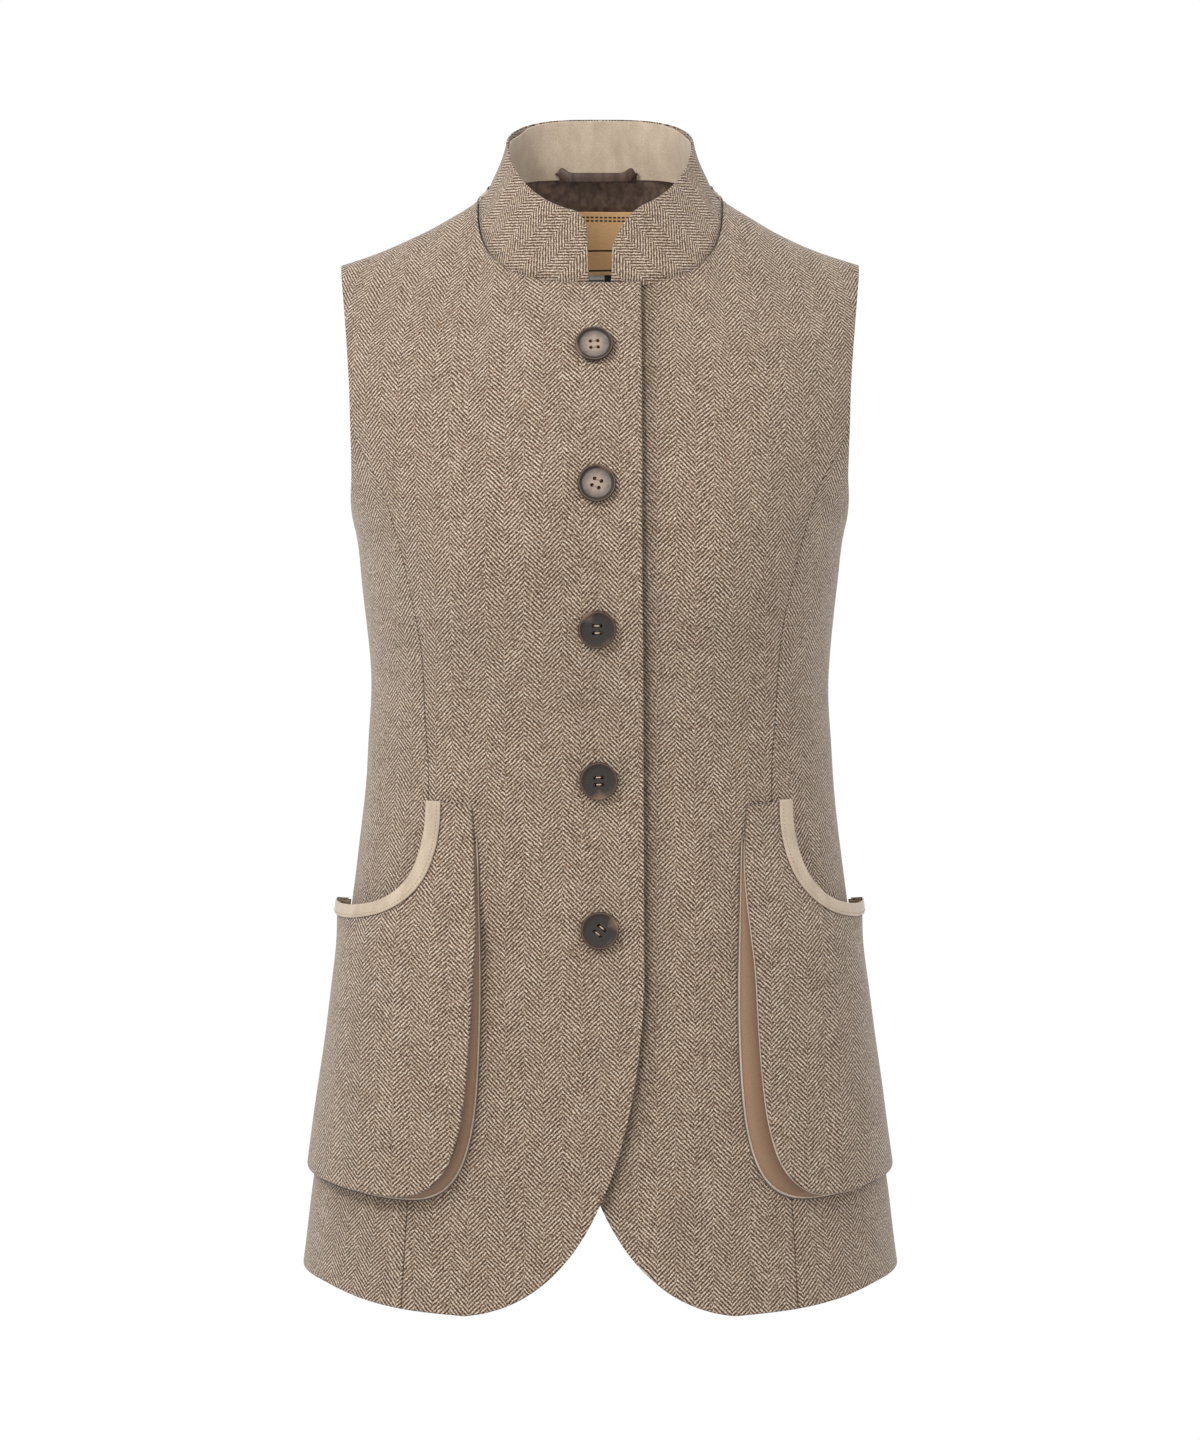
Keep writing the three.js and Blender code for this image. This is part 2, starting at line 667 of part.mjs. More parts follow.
function collarGeometry(inset, wall, endInset, topInset) {
  const start = COLLAR_START + endInset;
  const nearEnd = [0, 0.8, 2.5, 5.5, 10, 15].map((d) => start + d);
  const angles = [...nearEnd, ...RIM_DEGREES].filter((d) => d > start - 1e-9);
  angles.sort((a, b) => a - b);
  const steps = [
    ...angles.map((degrees) => ({ side: -1, degrees })),
    ...angles.slice(0, -1).reverse().map((degrees) => ({ side: 1, degrees })),
  ];
  const layer = (depth) =>
    evenSteps(3).map((r) =>
      steps.map(({ side, degrees }) => {
        const rise = r * collarHeight(side, degrees, start) * (1 - topInset);
        const point = collarPoint(side, degrees, rise);
        const d = THREE.MathUtils.clamp(degrees, COLLAR_START + 0.5, 179);
        const along = collarPoint(side, d + 1, rise).sub(collarPoint(side, d - 1, rise));
        const up = collarPoint(side, d, 1).sub(collarPoint(side, d, 0));
        const inward = up.cross(along).multiplyScalar(side).normalize();
        if (degrees === 180) inward.setX(0).normalize();
        return point.addScaledVector(inward, depth);
      }),
    );
  return wallGeometry(layer(inset), layer(inset + wall));
}

function addCollar() {
  add("collar", collarGeometry(0, COLLAR_WALL, 0, 0), tweed);
  add("collar_facing", collarGeometry(COLLAR_WALL + GAP, TRIM_WALL, 1, 0.02), suede);
}

// Label, tabs and hanger loop inside the back of the neck

// The u and v of the lining's patch, near its middle, at a point x and z.
function liningPlace(domain, x, z) {
  const firstColumn = 1 / BACK_COLUMNS;
  let [u, v] = [0, 0];
  for (let pass = 0; pass < 4; pass++) {
    let [low, high] = [0.5, 1];
    for (let i = 0; i < 24; i++) {
      v = (low + high) / 2;
      if (bareForm(...domain(u, v)).z < z) low = v;
      else high = v;
    }
    u = (x / bareForm(...domain(firstColumn, v)).x) * firstColumn;
  }
  return [u, v];
}

// A flat piece of cloth on the lining's inner face, from x to x and from z down to z. It is
// straight between the lining's rows, as the lining is.
function backTab({ from, to, top, bottom, wall }) {
  const domain = liningDomain();
  const middle = liningPlace(domain, (from + to) / 2, bottom)[1];
  const last = liningPlace(domain, (from + to) / 2, top)[1];
  const between = LINING_ROWS.filter((v) => v > middle + 0.005 && v < last - 0.005);
  const across = [from, ...(from < 0 && to > 0 ? [0] : []), to];
  const layer = (depth) =>
    [middle, ...between, last].map((v) => {
      const k = LINING_ROWS.findIndex((row) => row >= v - 1e-9);
      const [rowLow, rowHigh] = [LINING_ROWS[k - 1], LINING_ROWS[k]];
      const share = (v - rowLow) / (rowHigh - rowLow);
      return across.map((x) => {
        const u = (x / bareForm(...domain(1 / BACK_COLUMNS, v)).x) / BACK_COLUMNS;
        const [low, high] = [rowLow, rowHigh].map((row) => onForm(...domain(u, row), -depth));
        return low.lerp(high, share);
      });
    });
  const face = LINING_FACE + LABEL_GAP;
  return wallGeometry(layer(face), layer(face + wall));
}

function addLabels() {
  add("label", backTab(LABEL), labelCloth);
  const top = LABEL.bottom - GAP;
  add("size_tab", backTab({ ...SIZE_TAB, top }), whiteTape);
  add("care_tab", backTab({ ...CARE_TAB, top }), darkTape);
}

// A flat strap across the back neck with its ends turned back into the seam. The collar
// curves away behind it, which leaves room for a hook.
function addHangerLoop() {
  const middle = neckRim(1, 180);
  const columns = evenSteps(14).map((t) => lerp(-1, 1, t));
  const layer = (depth) =>
    [0, 1].map((row) =>
      columns.map((c) => {
        const end = Math.abs(c) ** 5;
        const x = LOOP.middle + c * LOOP.half;
        const y = middle.y - LOOP_SEAT + LOOP.turnBack * end;
        const z = LOOP.z + LOOP.bow * end + row * LOOP.height;
        return new THREE.Vector3(x, y - depth, z);
      }),
    );
  add("hanger_loop", wallGeometry(layer(0), layer(LOOP.wall)), satin);
}

// Pockets

// How far a pocket's face stands off the form: sewn flat along its top, full along the
// gusset, and low towards the side, where its mouth gapes again.
function pocketStand(girth, w) {
  const g = Math.abs(girth);
  const full = smoothStep(-415, -525, w);
  const aside = 1 - 0.75 * smoothStep(0.5, 0.95, g);
  const lip = 5 * Math.exp(-(((w + 485) / 24) ** 2)) * smoothStep(0.55, 0.95, g);
  const sewn = 1 - smoothStep(1.0, POCKET_SIDE.girth, g);
  return BODY_WALL + 0.6 + (13.4 * full * aside + lip) * sewn;
}

function pocketLines({ shift, gape }) {
  const fade = (x) => 1 - smoothStep(115, 185, x); // what is left of a shift towards the side
  const place = (x, z) => [girthAt(x + shift * fade(x), z), z];
  const faceX = (row) => row.faceX + gape * fade(row.faceX) * smoothStep(-445, -520, row.faceZ);
  const side = (z) => [POCKET_SIDE.girth, z];
  return {
    gusset: [...POCKET_LINE.map((r) => place(r.gussetX, r.gussetZ)), side(POCKET_SIDE.gussetZ)],
    face: [...POCKET_LINE.map((r) => place(faceX(r), r.faceZ)), side(POCKET_SIDE.faceZ)],
    mouth: [...MOUTH.map((r) => place(r.x, r.z)), side(POCKET_SIDE.mouthZ)],
  };
}

// A smooth line through domain points, read by share of its length in real size.
function lineThrough(points) {
  const scale = 200; // millimetres to one unit of girth, near enough for even spacing
  const curve = new THREE.CatmullRomCurve3(
    points.map(([girth, w]) => new THREE.Vector3(girth * scale, w, 0)),
    false,
    "centripetal",
  );
  return (t) => {
    const p = curve.getPointAt(THREE.MathUtils.clamp(t, 0, 1));
    return [p.x / scale, p.y];
  };
}

function pocketPatch(lines) {
  const down = lineThrough(lines.face.slice(0, POCKET_CORNER_ROW + 1));
  const along = lineThrough(lines.face.slice(POCKET_CORNER_ROW));
  const mouth = lineThrough(lines.mouth);
  const top = lines.face[0];
  const mouthTop = lines.mouth[0];
  const topShare = 0.2;
  const sideLow = lines.face[lines.face.length - 1];
  const sideHigh = lines.mouth[lines.mouth.length - 1];
  return patch({
    near: (v) => down(1 - v),
    far: (v) => [lerp(sideLow[0], sideHigh[0], v), lerp(sideLow[1], sideHigh[1], v)],
    low: (u) => along(u),
    high: (u) =>
      u < topShare
        ? [0, 1].map((k) => lerp(top[k], mouthTop[k], u / topShare))
        : mouth((u - topShare) / (1 - topShare)),
  });
}

// The gusset: a strip from its line on the body to its line behind the face's edge.
function gussetGeometry(lines, side) {
  const onBody = lineThrough(lines.gusset);
  const onFace = lineThrough(lines.face);
  const steps = evenSteps(24).map((t) => lerp(0.1, 0.94, t));
  const middle = [0.62, -560]; // a domain point inside the pocket
  const strip = (inset) =>
    [0, 0.5, 1].map((across) =>
      steps.map((t) => {
        const [girthA, wA] = onBody(t);
        const [girthB, wB] = onFace(t);
        const foot = onForm(side * girthA, wA, BODY_WALL + LAYER_GAP);
        const stand = pocketStand(girthB, wB) - LAYER_GAP;
        const head = onForm(side * girthB, wB, stand);
        const inside = onForm(side * middle[0], middle[1], BODY_WALL);
        inside.z = lerp(wA, middle[1], 0.75);
        const inward = inside.sub(foot);
        inward.addScaledVector(
          formNormal(side * girthA, wA),
          -inward.dot(formNormal(side * girthA, wA)),
        );
        return foot.lerp(head, across).addScaledVector(inward.normalize(), inset);
      }),
    );
  return wallGeometry(strip(0.4), strip(0.4 + TRIM_WALL));
}

// The trim lies on the face along the mouth, with its upper edge a little past the mouth's.
function trimGeometry(lines, side) {
  const mouth = lineThrough(lines.mouth);
  const scale = 200;
  const widths = [-0.8, TRIM_WIDTH / 2, TRIM_WIDTH];
  const steps = evenSteps(22);
  const layer = (extra) =>
    widths.map((width) =>
      steps.map((t) => {
        const [girth, w] = mouth(t);
        const [girth0, w0] = mouth(t - 0.01);
        const [girth1, w1] = mouth(t + 0.01);
        const alongGirth = (girth1 - girth0) * scale;
        const alongW = w1 - w0;
        const length = Math.hypot(alongGirth, alongW);
        const g = girth + ((alongW / length) * width) / scale;
        const h = w - (alongGirth / length) * width;
        return onForm(side * g, h, pocketStand(g, h) + POCKET_WALL + LAYER_GAP + extra);
      }),
    );
  return wallGeometry(layer(TRIM_WALL), layer(0));
}

function addPockets() {
  for (const pocket of POCKETS) {
    const lines = pocketLines(pocket);
    const { name, side } = pocket;
    add(
      `pocket_face_${name}`,
      clothGeometry(
        pocketPatch(lines),
        evenSteps(13),
        evenSteps(13),
        side,
        pocketStand,
        POCKET_WALL,
      ),
      tweed,
    );
    add(`pocket_gusset_${name}`, gussetGeometry(lines, side), suede);
    add(`pocket_trim_${name}`, trimGeometry(lines, side), suede);
  }
}

// Buttons

function solidFrom(geometry) {
  const positions = geometry.getAttribute("position").array;
  const index = geometry.index.array;
  const merged = new Map();
  const points = [];
  const remap = [];
  for (let i = 0; i < positions.length; i += 3) {
    const key = [0, 1, 2].map((k) => Math.round(positions[i + k] * 1e4)).join();
    if (!merged.has(key)) {
      merged.set(key, points.length / 3);
      points.push(positions[i], positions[i + 1], positions[i + 2]);
    }
    remap.push(merged.get(key));
  }
  const faces = [];
  for (let i = 0; i < index.length; i += 3) {
    const [a, b, c] = [0, 1, 2].map((k) => remap[index[i + k]]);
    if (a !== b && b !== c && c !== a) faces.push(a, b, c);
  }
  const mesh = { numProp: 3, vertProperties: new Float32Array(points), triVerts: new Uint32Array(faces) };
  return new wasm.Manifold(new wasm.Mesh(mesh));
}

function geometryFrom(solid) {
  const mesh = solid.getMesh();
  const geometry = new THREE.BufferGeometry();
  geometry.setAttribute("position", new THREE.Float32BufferAttribute(mesh.vertProperties, 3));
  geometry.setIndex([...mesh.triVerts]);
  geometry.computeVertexNormals();
  return geometry;
}

// A four-hole button with a raised rim. Its axis is Y and its back is at 0.
function buttonGeometry() {
  const { radius, height, holeRadius, holeOffset } = BUTTON;
  const profile = [
    [0, 0],
    [radius * 0.8, 0],
    [radius, height * 0.6],
    [radius * 0.94, height],
    [radius * 0.85, height],
    [radius * 0.74, height * 0.68],
    [0, height * 0.66],
  ].map(([x, y]) => new THREE.Vector2(x, y));
  let button = solidFrom(new THREE.LatheGeometry(profile, 22));
  for (const [sx, sz] of [
    [-1, -1],
    [-1, 1],
    [1, -1],
    [1, 1],
  ]) {
    const hole = new THREE.CylinderGeometry(holeRadius, holeRadius, 3 * height, 6);
    hole.translate(sx * holeOffset, 0, sz * holeOffset);
    button = button.subtract(solidFrom(hole));
  }
  return geometryFrom(button);
}

function addButtons() {
  const geometry = buttonGeometry();
  BUTTONS.forEach(({ x, w }, i) => {
    const girth = girthAt(x, w);
    const normal = formNormal(girth, w);
    const button = add(`button_${i + 1}`, geometry, i < LIGHT_BUTTONS ? lightHorn : darkHorn);
    const seat = LAP_LIFT + BODY_WALL + GAP + 0.25;
    button.position.copy(onForm(girth, w, seat));
    button.quaternion.setFromUnitVectors(new THREE.Vector3(0, 1, 0), normal);
  });
}

addBody();
addLining();
addCollar();
addLabels();
addHangerLoop();
addPockets();
addButtons();

export default waistcoat;
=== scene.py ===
from math import cos, pi, radians, sin, tau

import bmesh
import bpy
import numpy as np
from mathutils import Matrix, Vector


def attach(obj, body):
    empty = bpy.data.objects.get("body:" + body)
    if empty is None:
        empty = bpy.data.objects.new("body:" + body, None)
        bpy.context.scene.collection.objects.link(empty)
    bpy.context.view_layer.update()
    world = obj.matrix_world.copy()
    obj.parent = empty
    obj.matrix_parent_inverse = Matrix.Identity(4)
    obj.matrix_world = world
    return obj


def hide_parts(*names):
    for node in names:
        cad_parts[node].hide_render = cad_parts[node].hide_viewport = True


# The looks of a tailored herringbone waistcoat, filled out as it is worn. Sizes are in
# millimetres up to the last step, where lay() and the other makers turn them into metres.
# The front faces -Y, +X is the wearer's left, and the origin lies between the shoulders.

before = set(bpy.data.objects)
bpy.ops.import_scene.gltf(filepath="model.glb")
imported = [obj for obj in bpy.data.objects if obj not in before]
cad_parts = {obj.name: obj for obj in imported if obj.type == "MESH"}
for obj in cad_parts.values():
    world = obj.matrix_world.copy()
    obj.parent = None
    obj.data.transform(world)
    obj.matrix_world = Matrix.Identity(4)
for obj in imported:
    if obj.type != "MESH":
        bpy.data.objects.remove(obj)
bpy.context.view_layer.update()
MM = 0.001

# Cloth thicknesses and clearances
BODY_WALL = 2.0
POCKET_WALL = 1.8
COLLAR_WALL = 1.6
TRIM_WALL = 1.0
LINING_WALL = 0.8
GAP = 0.3
LAYER_GAP = 0.6
LAP_LIFT = BODY_WALL + 0.7
LINING_FACE = LAYER_GAP + LINING_WALL

# The body form, by level: half width, front depth, back depth
SQUARENESS = 2.4
LEVELS = [
    (-760, 211.0, 141, 138),
    (-720, 205.2, 138, 134),
    (-660, 197.4, 134, 128),
    (-600, 188.8, 130, 121),
    (-540, 179.8, 125, 112),
    (-480, 171.0, 120, 102),
    (-430, 164.8, 116, 95),
    (-390, 160.6, 115, 91),
    (-350, 157.9, 117, 92),
    (-310, 159.0, 122, 98),
    (-265, 163.8, 126, 106),
    (-228, 167.6, 126, 111),
    (-195, 177.0, 121, 113),
    (-165, 186.5, 114, 114),
    (-150, 190.0, 110, 114),
    (-110, 190.0, 97, 112),
    (-60, 190.0, 77, 110),
    (-20, 190.0, 66, 109),
    (30, 190.0, 56, 108),
    (70, 190.0, 50, 106),
]
BUST_X, BUST_Z, BUST_RISE, BUST_ACROSS, BUST_UP = 84, -245, 11, 46, 62
CAP_START, CAP_RISE = -150, 180
RIDGE = CAP_START + CAP_RISE
RIDGE_LINE = [
    (0, 48.7), (20, 48.0), (40, 43.2), (57, 33.2), (70, 18.6), (84, 0.5),
    (92, -5.4), (100, -10.2), (120, -21.9), (150, -35.8), (180, -45.6), (200, -51.0),
]

# Neckline, front edge, hem, panel seam and armhole
NECK_HALF, SHOULDER_HALF = 84, 179.5
NECK_FRONT_Z, NECK_BACK_Z, NECK_SIDE_Z = -59.2, 21.0, 0.5
NECK_FRONT_POWER, NECK_BACK_POWER, NECK_BACK_FLATNESS = 2 / 2.9, 2 / 2.4, 5
EDGE_TOP_X, EDGE_LOW_X, EDGE_LOW_Z = -28, -29.8, -528.7
CUTAWAY = [(EDGE_LOW_X, EDGE_LOW_Z), (-26.9, -624.5), (1.1, -743.2), (91, -754)]
HEM = [
    (0.272, -754), (0.416, -751.7), (0.523, -748.4), (0.592, -745.6), (0.686, -742.6),
    (0.85, -741.4), (1.06, -741), (1.5, -732), (2, -725),
]
PANEL_SEAM = [
    (-760, 134), (-660, 128), (-560, 121.5), (-480, 117), (-410, 115.5), (-346, 117.5),
    (-302, 120.8), (-279, 124.2), (-252, 130.2), (-225, 137.2), (-198, 146.0), (-172, 160.4),
    (-156, 169.2),
]
PANEL_TOP, UNDERARM, SIDE = -156, -228, 1.06
ARMHOLE = [
    (-228, 167.6), (-213, 167.6), (-192, 168.3), (-171, 168.8), (-150, 169.4), (-128, 170.3),
    (-80, 174.0), (-31, 177.4), (-5, 178.7), (30, SHOULDER_HALF),
]
SEAM, SHOULDER_TOP = 0.0, RIDGE - 0.35
NECK_SHARE, BACK_NECK_SHARE, NECK_PATCH_POWER = 8 / 14, 5 / 11, 4

# Collar
TOP_HALF, TOP_SIDE, TOP_FRONT, TOP_BACK = 64.7, 44, -10, 62
TOP_MID_Y, TOP_TO_FRONT, TOP_TO_BACK, TOP_BACK_POWER, TOP_BACK_FALL = -4, 58, 58, 2 / 3, 1.45
COLLAR_END_X, COLLAR_TOP_END_X, COLLAR_HEIGHT, COLLAR_HOLLOW, COLLAR_SEAT = 7.5, 9, 47, 3.5, 0.5
COLLAR_PULL, COLLAR_PULL_RISE = 3.4, 0.12  # how far its foot curves in just above the seam
COLLAR_CORNERS = {-1: (10, 13), 1: (24, 27)}  # how far each corner's curve runs along and down

# Pockets: gusset and face lines from the upper front corner round to the side, and the mouth
GUSSET_LINE = [
    (89.6, -411), (88.4, -440), (87.7, -468), (87.0, -498), (86.7, -532), (87.2, -568),
    (89.2, -603), (93.2, -633), (100.2, -655), (110.5, -669), (125.0, -676), (149.5, -677),
    (174.5, -675),
]
FACE_LINE = [
    (91.6, -411), (89.6, -440), (88.4, -467), (88.2, -496), (90.4, -530), (92.4, -564),
    (95.4, -599), (99.6, -628), (106.4, -651), (116.8, -666), (131.0, -674), (153.0, -675),
    (176.5, -672),
]
CORNER_ROW = 8
POCKET_GIRTH, GUSSET_SIDE_Z, FACE_SIDE_Z, MOUTH_SIDE_Z = 1.045, -671, -668, -487
MOUTH = [
    (120.6, -408), (121.4, -425), (124.0, -442.5), (129.0, -459), (137.5, -472),
    (149.0, -480.5), (164.0, -485.5),
]
TRIM_WIDTH = 8.6
POCKETS = {-1: ("right", -6.3, -3), 1: ("left", 6.3, 3)}  # name, shift and gape
SPREAD = 200  # millimetres to one unit of girth, near enough for even spacing

# Buttons, from the top: place, turn and streak in degrees, and whether it is a paler one
BUTTON_RADIUS, BUTTON_HEIGHT, HOLE_RADIUS, HOLE_OFFSET = 12.9, 4.6, 1.35, 2.4
BUTTONS = [
    (-3.8, -123, 4, 205, True), (-2.3, -194.5, -22, 60, True), (-2.1, -289.5, 2, 128, False),
    (-0.9, -392.5, 4, 275, False), (-0.2, -493.5, -38, 28, False),
]

# Label, tabs and hanger loop: from, to, top, bottom
LABEL = (-29, 31, 0.3, -44)
SIZE_TAB = (-7.7, 3.3, -43.8, -57)
CARE_TAB = (4, 10.5, -43.8, -56)
LOOP_MIDDLE, LOOP_HALF, LOOP_Z, LOOP_HEIGHT, LOOP_WALL, LOOP_SEAT = -2.5, 29, 17.4, 6.8, 1.4, 12

# Weave
COLUMN = 12.7  # width of one herringbone column
TWILL = 3.1  # height of one twill line
TWILL_SLOPE = 1.0


# The body form. Girth runs from 0 at the centre front through 1 at the side to 2 at the
# centre back, negative on the wearer's right, and w is the height on the cloth.

def lerp(a, b, t):
    return a + (b - a) * t


def smooth_step(start, end, value):
    t = np.clip((value - start) / (end - start), 0, 1)
    return t * t * (3 - 2 * t)


def hump(value, middle, width):
    return np.exp(-(((value - middle) / width) ** 2))


def curve(rows):
    """A smooth curve through rows of place and value, read at any array of places."""
    place, value = np.array(sorted(rows), float).T
    count = np.arange(len(place))
    low, high = np.maximum(count - 1, 0), np.minimum(count + 1, len(place) - 1)
    slope = (value[high] - value[low]) / (place[high] - place[low])

    def read(at):
        at = np.clip(at, place[0], place[-1])
        i = np.clip(np.searchsorted(place, at, side="right") - 1, 0, len(place) - 2)
        span = place[i + 1] - place[i]
        t = (at - place[i]) / span
        held = (2 * t**3 - 3 * t**2 + 1) * value[i] + (3 * t**2 - 2 * t**3) * value[i + 1]
        return held + span * ((t**3 - 2 * t**2 + t) * slope[i] + (t**3 - t**2) * slope[i + 1])

    return read


half_width = curve([row[:2] for row in LEVELS])
front_depth = curve([(row[0], row[2]) for row in LEVELS])
back_depth = curve([(row[0], row[3]) for row in LEVELS])
ridge_height = curve(RIDGE_LINE)
hem_height = curve(HEM)
seam_x = curve(PANEL_SEAM)
armhole_x = curve(ARMHOLE)


def bare_form(girth, w):
    angle = girth * pi / 2
    turn = np.maximum(0, w - CAP_START) / CAP_RISE * pi / 2
    across, along = np.sin(angle), np.cos(angle)
    reach = (np.abs(across) ** SQUARENESS + np.abs(along) ** SQUARENESS) ** (-1 / SQUARENESS)
    x = half_width(np.minimum(w, CAP_START)) * reach * across
    cap = CAP_START + (ridge_height(np.abs(x)) - CAP_START) * np.sin(turn)
    z = np.where(w <= CAP_START, w, cap)
    depth = np.where(along >= 0, front_depth(z), back_depth(z)) * reach * along
    bust = BUST_RISE * hump(np.abs(x), BUST_X, BUST_ACROSS) * hump(z, BUST_Z, BUST_UP)
    depth = depth + np.where(along > 0, bust, 0)
    return np.stack([x, -depth * np.cos(turn), z], -1)


def unit(vectors):
    return vectors / np.linalg.norm(vectors, axis=-1, keepdims=True)


def form_normal(girth, w):
    around = bare_form(girth + 1e-3, w) - bare_form(girth - 1e-3, w)
    up = bare_form(girth, w + 0.5) - bare_form(girth, w - 0.5)
    return unit(np.cross(around, up))


def drape(points):
    """How far the cloth stands off its form at each point, in soft shallow waves."""
    x, y, z = points[..., 0], points[..., 1], points[..., 2]
    front = np.where(y < 0, 1.0, 0.6)
    waves = 0.55 * np.sin(x / 33 + z / 61 + 0.7) * np.sin(z / 44 - x / 90 + 1.1)
    waves += 0.3 * np.sin(x / 17 - z / 29 + 2.0) * np.sin(z / 23 + x / 41)
    drag = np.sin((z + 0.45 * np.abs(x)) / 12.5) * hump(np.abs(x), 128, 34) * hump(z, -365, 58)
    skirt = np.sin(np.abs(x) / 19 + 0.6) * smooth_step(-520, -740, z)
    return front * (waves + 0.7 * drag + 0.9 * skirt)


def on_form(girth, w, out=0.0):
    """Points on the cloth, moved out from the form."""
    points = bare_form(girth, w)
    return points + form_normal(girth, w) * (out + drape(points))[..., None]


def girth_at(x, w):
    """The girth of the point that is x from the middle, on the front half."""
    share = np.clip(np.abs(x) / half_width(np.minimum(w, CAP_START)), 1e-9, 0.999999)
    angle = np.arctan((share**-SQUARENESS - 1) ** (-1 / SQUARENESS))
    return np.sign(x) * angle / (pi / 2)


def cloth_height(x, z):
    """The height on the cloth of a point at x and z."""
    share = np.clip((z - CAP_START) / (ridge_height(np.abs(x)) - CAP_START), 0, 1)
    return np.where(z <= CAP_START, z, CAP_START + CAP_RISE * np.arcsin(share) / (pi / 2))


class FlatCloth:
    """How far round and how far up the cloth each point of the form lies."""

    def __init__(self):
        self.girths = np.linspace(0, 2, 201)
        self.heights = np.linspace(-765, RIDGE, 160)
        girth, w = np.meshgrid(self.girths, self.heights)
        points = bare_form(girth, w)
        self.round = np.zeros(girth.shape)
        self.up = np.zeros(girth.shape)
        self.round[:, 1:] = np.cumsum(np.linalg.norm(np.diff(points, axis=1), axis=-1), 1)
        self.up[1:] = np.cumsum(np.linalg.norm(np.diff(points, axis=0), axis=-1), 0)

    def read(self, table, girth, w):
        j = np.clip(np.abs(girth) / 2 * 200, 0, 199.999)
        i = np.clip((w + 765) / (RIDGE + 765) * 159, 0, 158.999)
        j0, i0 = j.astype(int), i.astype(int)
        low = lerp(table[i0, j0], table[i0, j0 + 1], j - j0)
        return lerp(low, lerp(table[i0 + 1, j0], table[i0 + 1, j0 + 1], j - j0), i - i0)

    def cut(self, girth, w, grain):
        """Where a point lies on the cut piece, from the thread that runs up at girth grain."""
        beyond = np.abs(girth) > 2
        inside = np.where(beyond, 4 - np.abs(girth), np.abs(girth))
        away = self.read(self.round, inside, w) - self.read(self.round, np.full_like(w, grain), w)
        return np.stack([np.where(beyond, -away, away), self.read(self.up, inside, w)], -1)


FLAT = FlatCloth()


# Edge lines and patches, on the wearer's left side. Each gives girth and height.

def pair(girth, w):
    return np.stack(np.broadcast_arrays(girth, w), -1)


def patch(low, high, near, far, power=1):
    """The domain between four edge lines. Low and high run from near to far."""
    zero, one = np.zeros(1), np.ones(1)
    corners = near(zero), far(zero), near(one), far(one)

    def domain(u, v):
        top = v**power
        a, b, c, d = u[..., None], (1 - u)[..., None], top[..., None], (1 - top)[..., None]
        sides = b * near(v) + a * far(v) + d * low(u) + c * high(u)
        ends = b * d * corners[0] + a * d * corners[1] + b * c * corners[2] + a * c * corners[3]
        found = sides - ends
        return found[..., 0], found[..., 1]

    return domain


def hem_line(girth):
    return pair(girth, hem_height(girth))


def bezier(points, t):
    a, b, c, d = (np.array(p, float) for p in points)
    t = t[:, None]
    return (1 - t) ** 3 * a + 3 * (1 - t) ** 2 * t * b + 3 * (1 - t) * t**2 * c + t**3 * d


CUTAWAY_X, CUTAWAY_Z = bezier(CUTAWAY, np.linspace(0, 1, 801)).T
CUTAWAY_MIDDLE = bezier(CUTAWAY, np.array([0.5]))[0]


def neck_point(degrees, back=None):
    angle = np.radians(degrees)
    across, along = np.sin(angle), np.cos(angle)
    back = degrees > 90 if back is None else np.full(np.shape(degrees), back)
    power = np.where(back, NECK_BACK_POWER, NECK_FRONT_POWER)
    x = NECK_HALF * np.sign(across) * np.abs(across) ** power
    z_back = lerp(NECK_BACK_Z, NECK_SIDE_Z, np.abs(x / NECK_HALF) ** NECK_BACK_FLATNESS)
    z = np.where(back, z_back, lerp(NECK_SIDE_Z, NECK_FRONT_Z, np.abs(along) ** power))
    w = np.minimum(cloth_height(x, z), SHOULDER_TOP)
    girth = girth_at(x, w)
    return pair(np.where(back, 2 - girth, girth), w)


def neck_degrees(x):
    return np.sign(x) * np.degrees(np.arcsin(np.abs(x / NECK_HALF) ** (1 / NECK_FRONT_POWER)))


def armhole_girth(w, back):
    girth = girth_at(armhole_x(w), w)
    drift = (SIDE - 1) * smooth_step(-185, UNDERARM, w)
    return np.where(w <= UNDERARM, SIDE, (2 - girth if back else girth) + drift)


def panel_seam(w):
    return girth_at(seam_x(w), w)


PANEL_HEM = hem_line(panel_seam(hem_height(0.41)))
SIDE_HEM = hem_line(SIDE)
EDGE_NECK = float(neck_degrees(EDGE_TOP_X))


def front_patch():
    top = neck_point(np.array(EDGE_NECK))

    def near(v):
        z = lerp(CUTAWAY_MIDDLE[1], top[1], v)
        share = (z - EDGE_LOW_Z) / (top[1] - EDGE_LOW_Z)
        rounded = np.interp(-z, -CUTAWAY_Z, CUTAWAY_X)
        return pair(girth_at(np.where(z > EDGE_LOW_Z, lerp(EDGE_LOW_X, EDGE_TOP_X, share), rounded), z), z)

    def far(v):
        w = lerp(PANEL_HEM[1], SHOULDER_TOP, v)
        return pair(np.where(w < PANEL_TOP, panel_seam(w) - SEAM, armhole_girth(w, False)), w)

    def low(u):
        start = girth_at(*CUTAWAY_MIDDLE)
        girth = lerp(start, PANEL_HEM[0] - SEAM, u)
        x = bare_form(girth, np.full(girth.shape, -740.0))[..., 0]
        return pair(girth, np.where(x >= CUTAWAY[3][0], hem_height(girth), np.interp(x, CUTAWAY_X, CUTAWAY_Z)))

    def high(u):
        neck = neck_point(lerp(EDGE_NECK, 90, np.sin(np.clip(u / NECK_SHARE, 0, 1) * pi / 2)), False)
        x = lerp(NECK_HALF, SHOULDER_HALF, (u - NECK_SHARE) / (1 - NECK_SHARE))
        shoulder = pair(girth_at(x, SHOULDER_TOP), SHOULDER_TOP)
        return np.where((u <= NECK_SHARE)[..., None], neck, shoulder)

    return patch(low, high, near, far, NECK_PATCH_POWER)


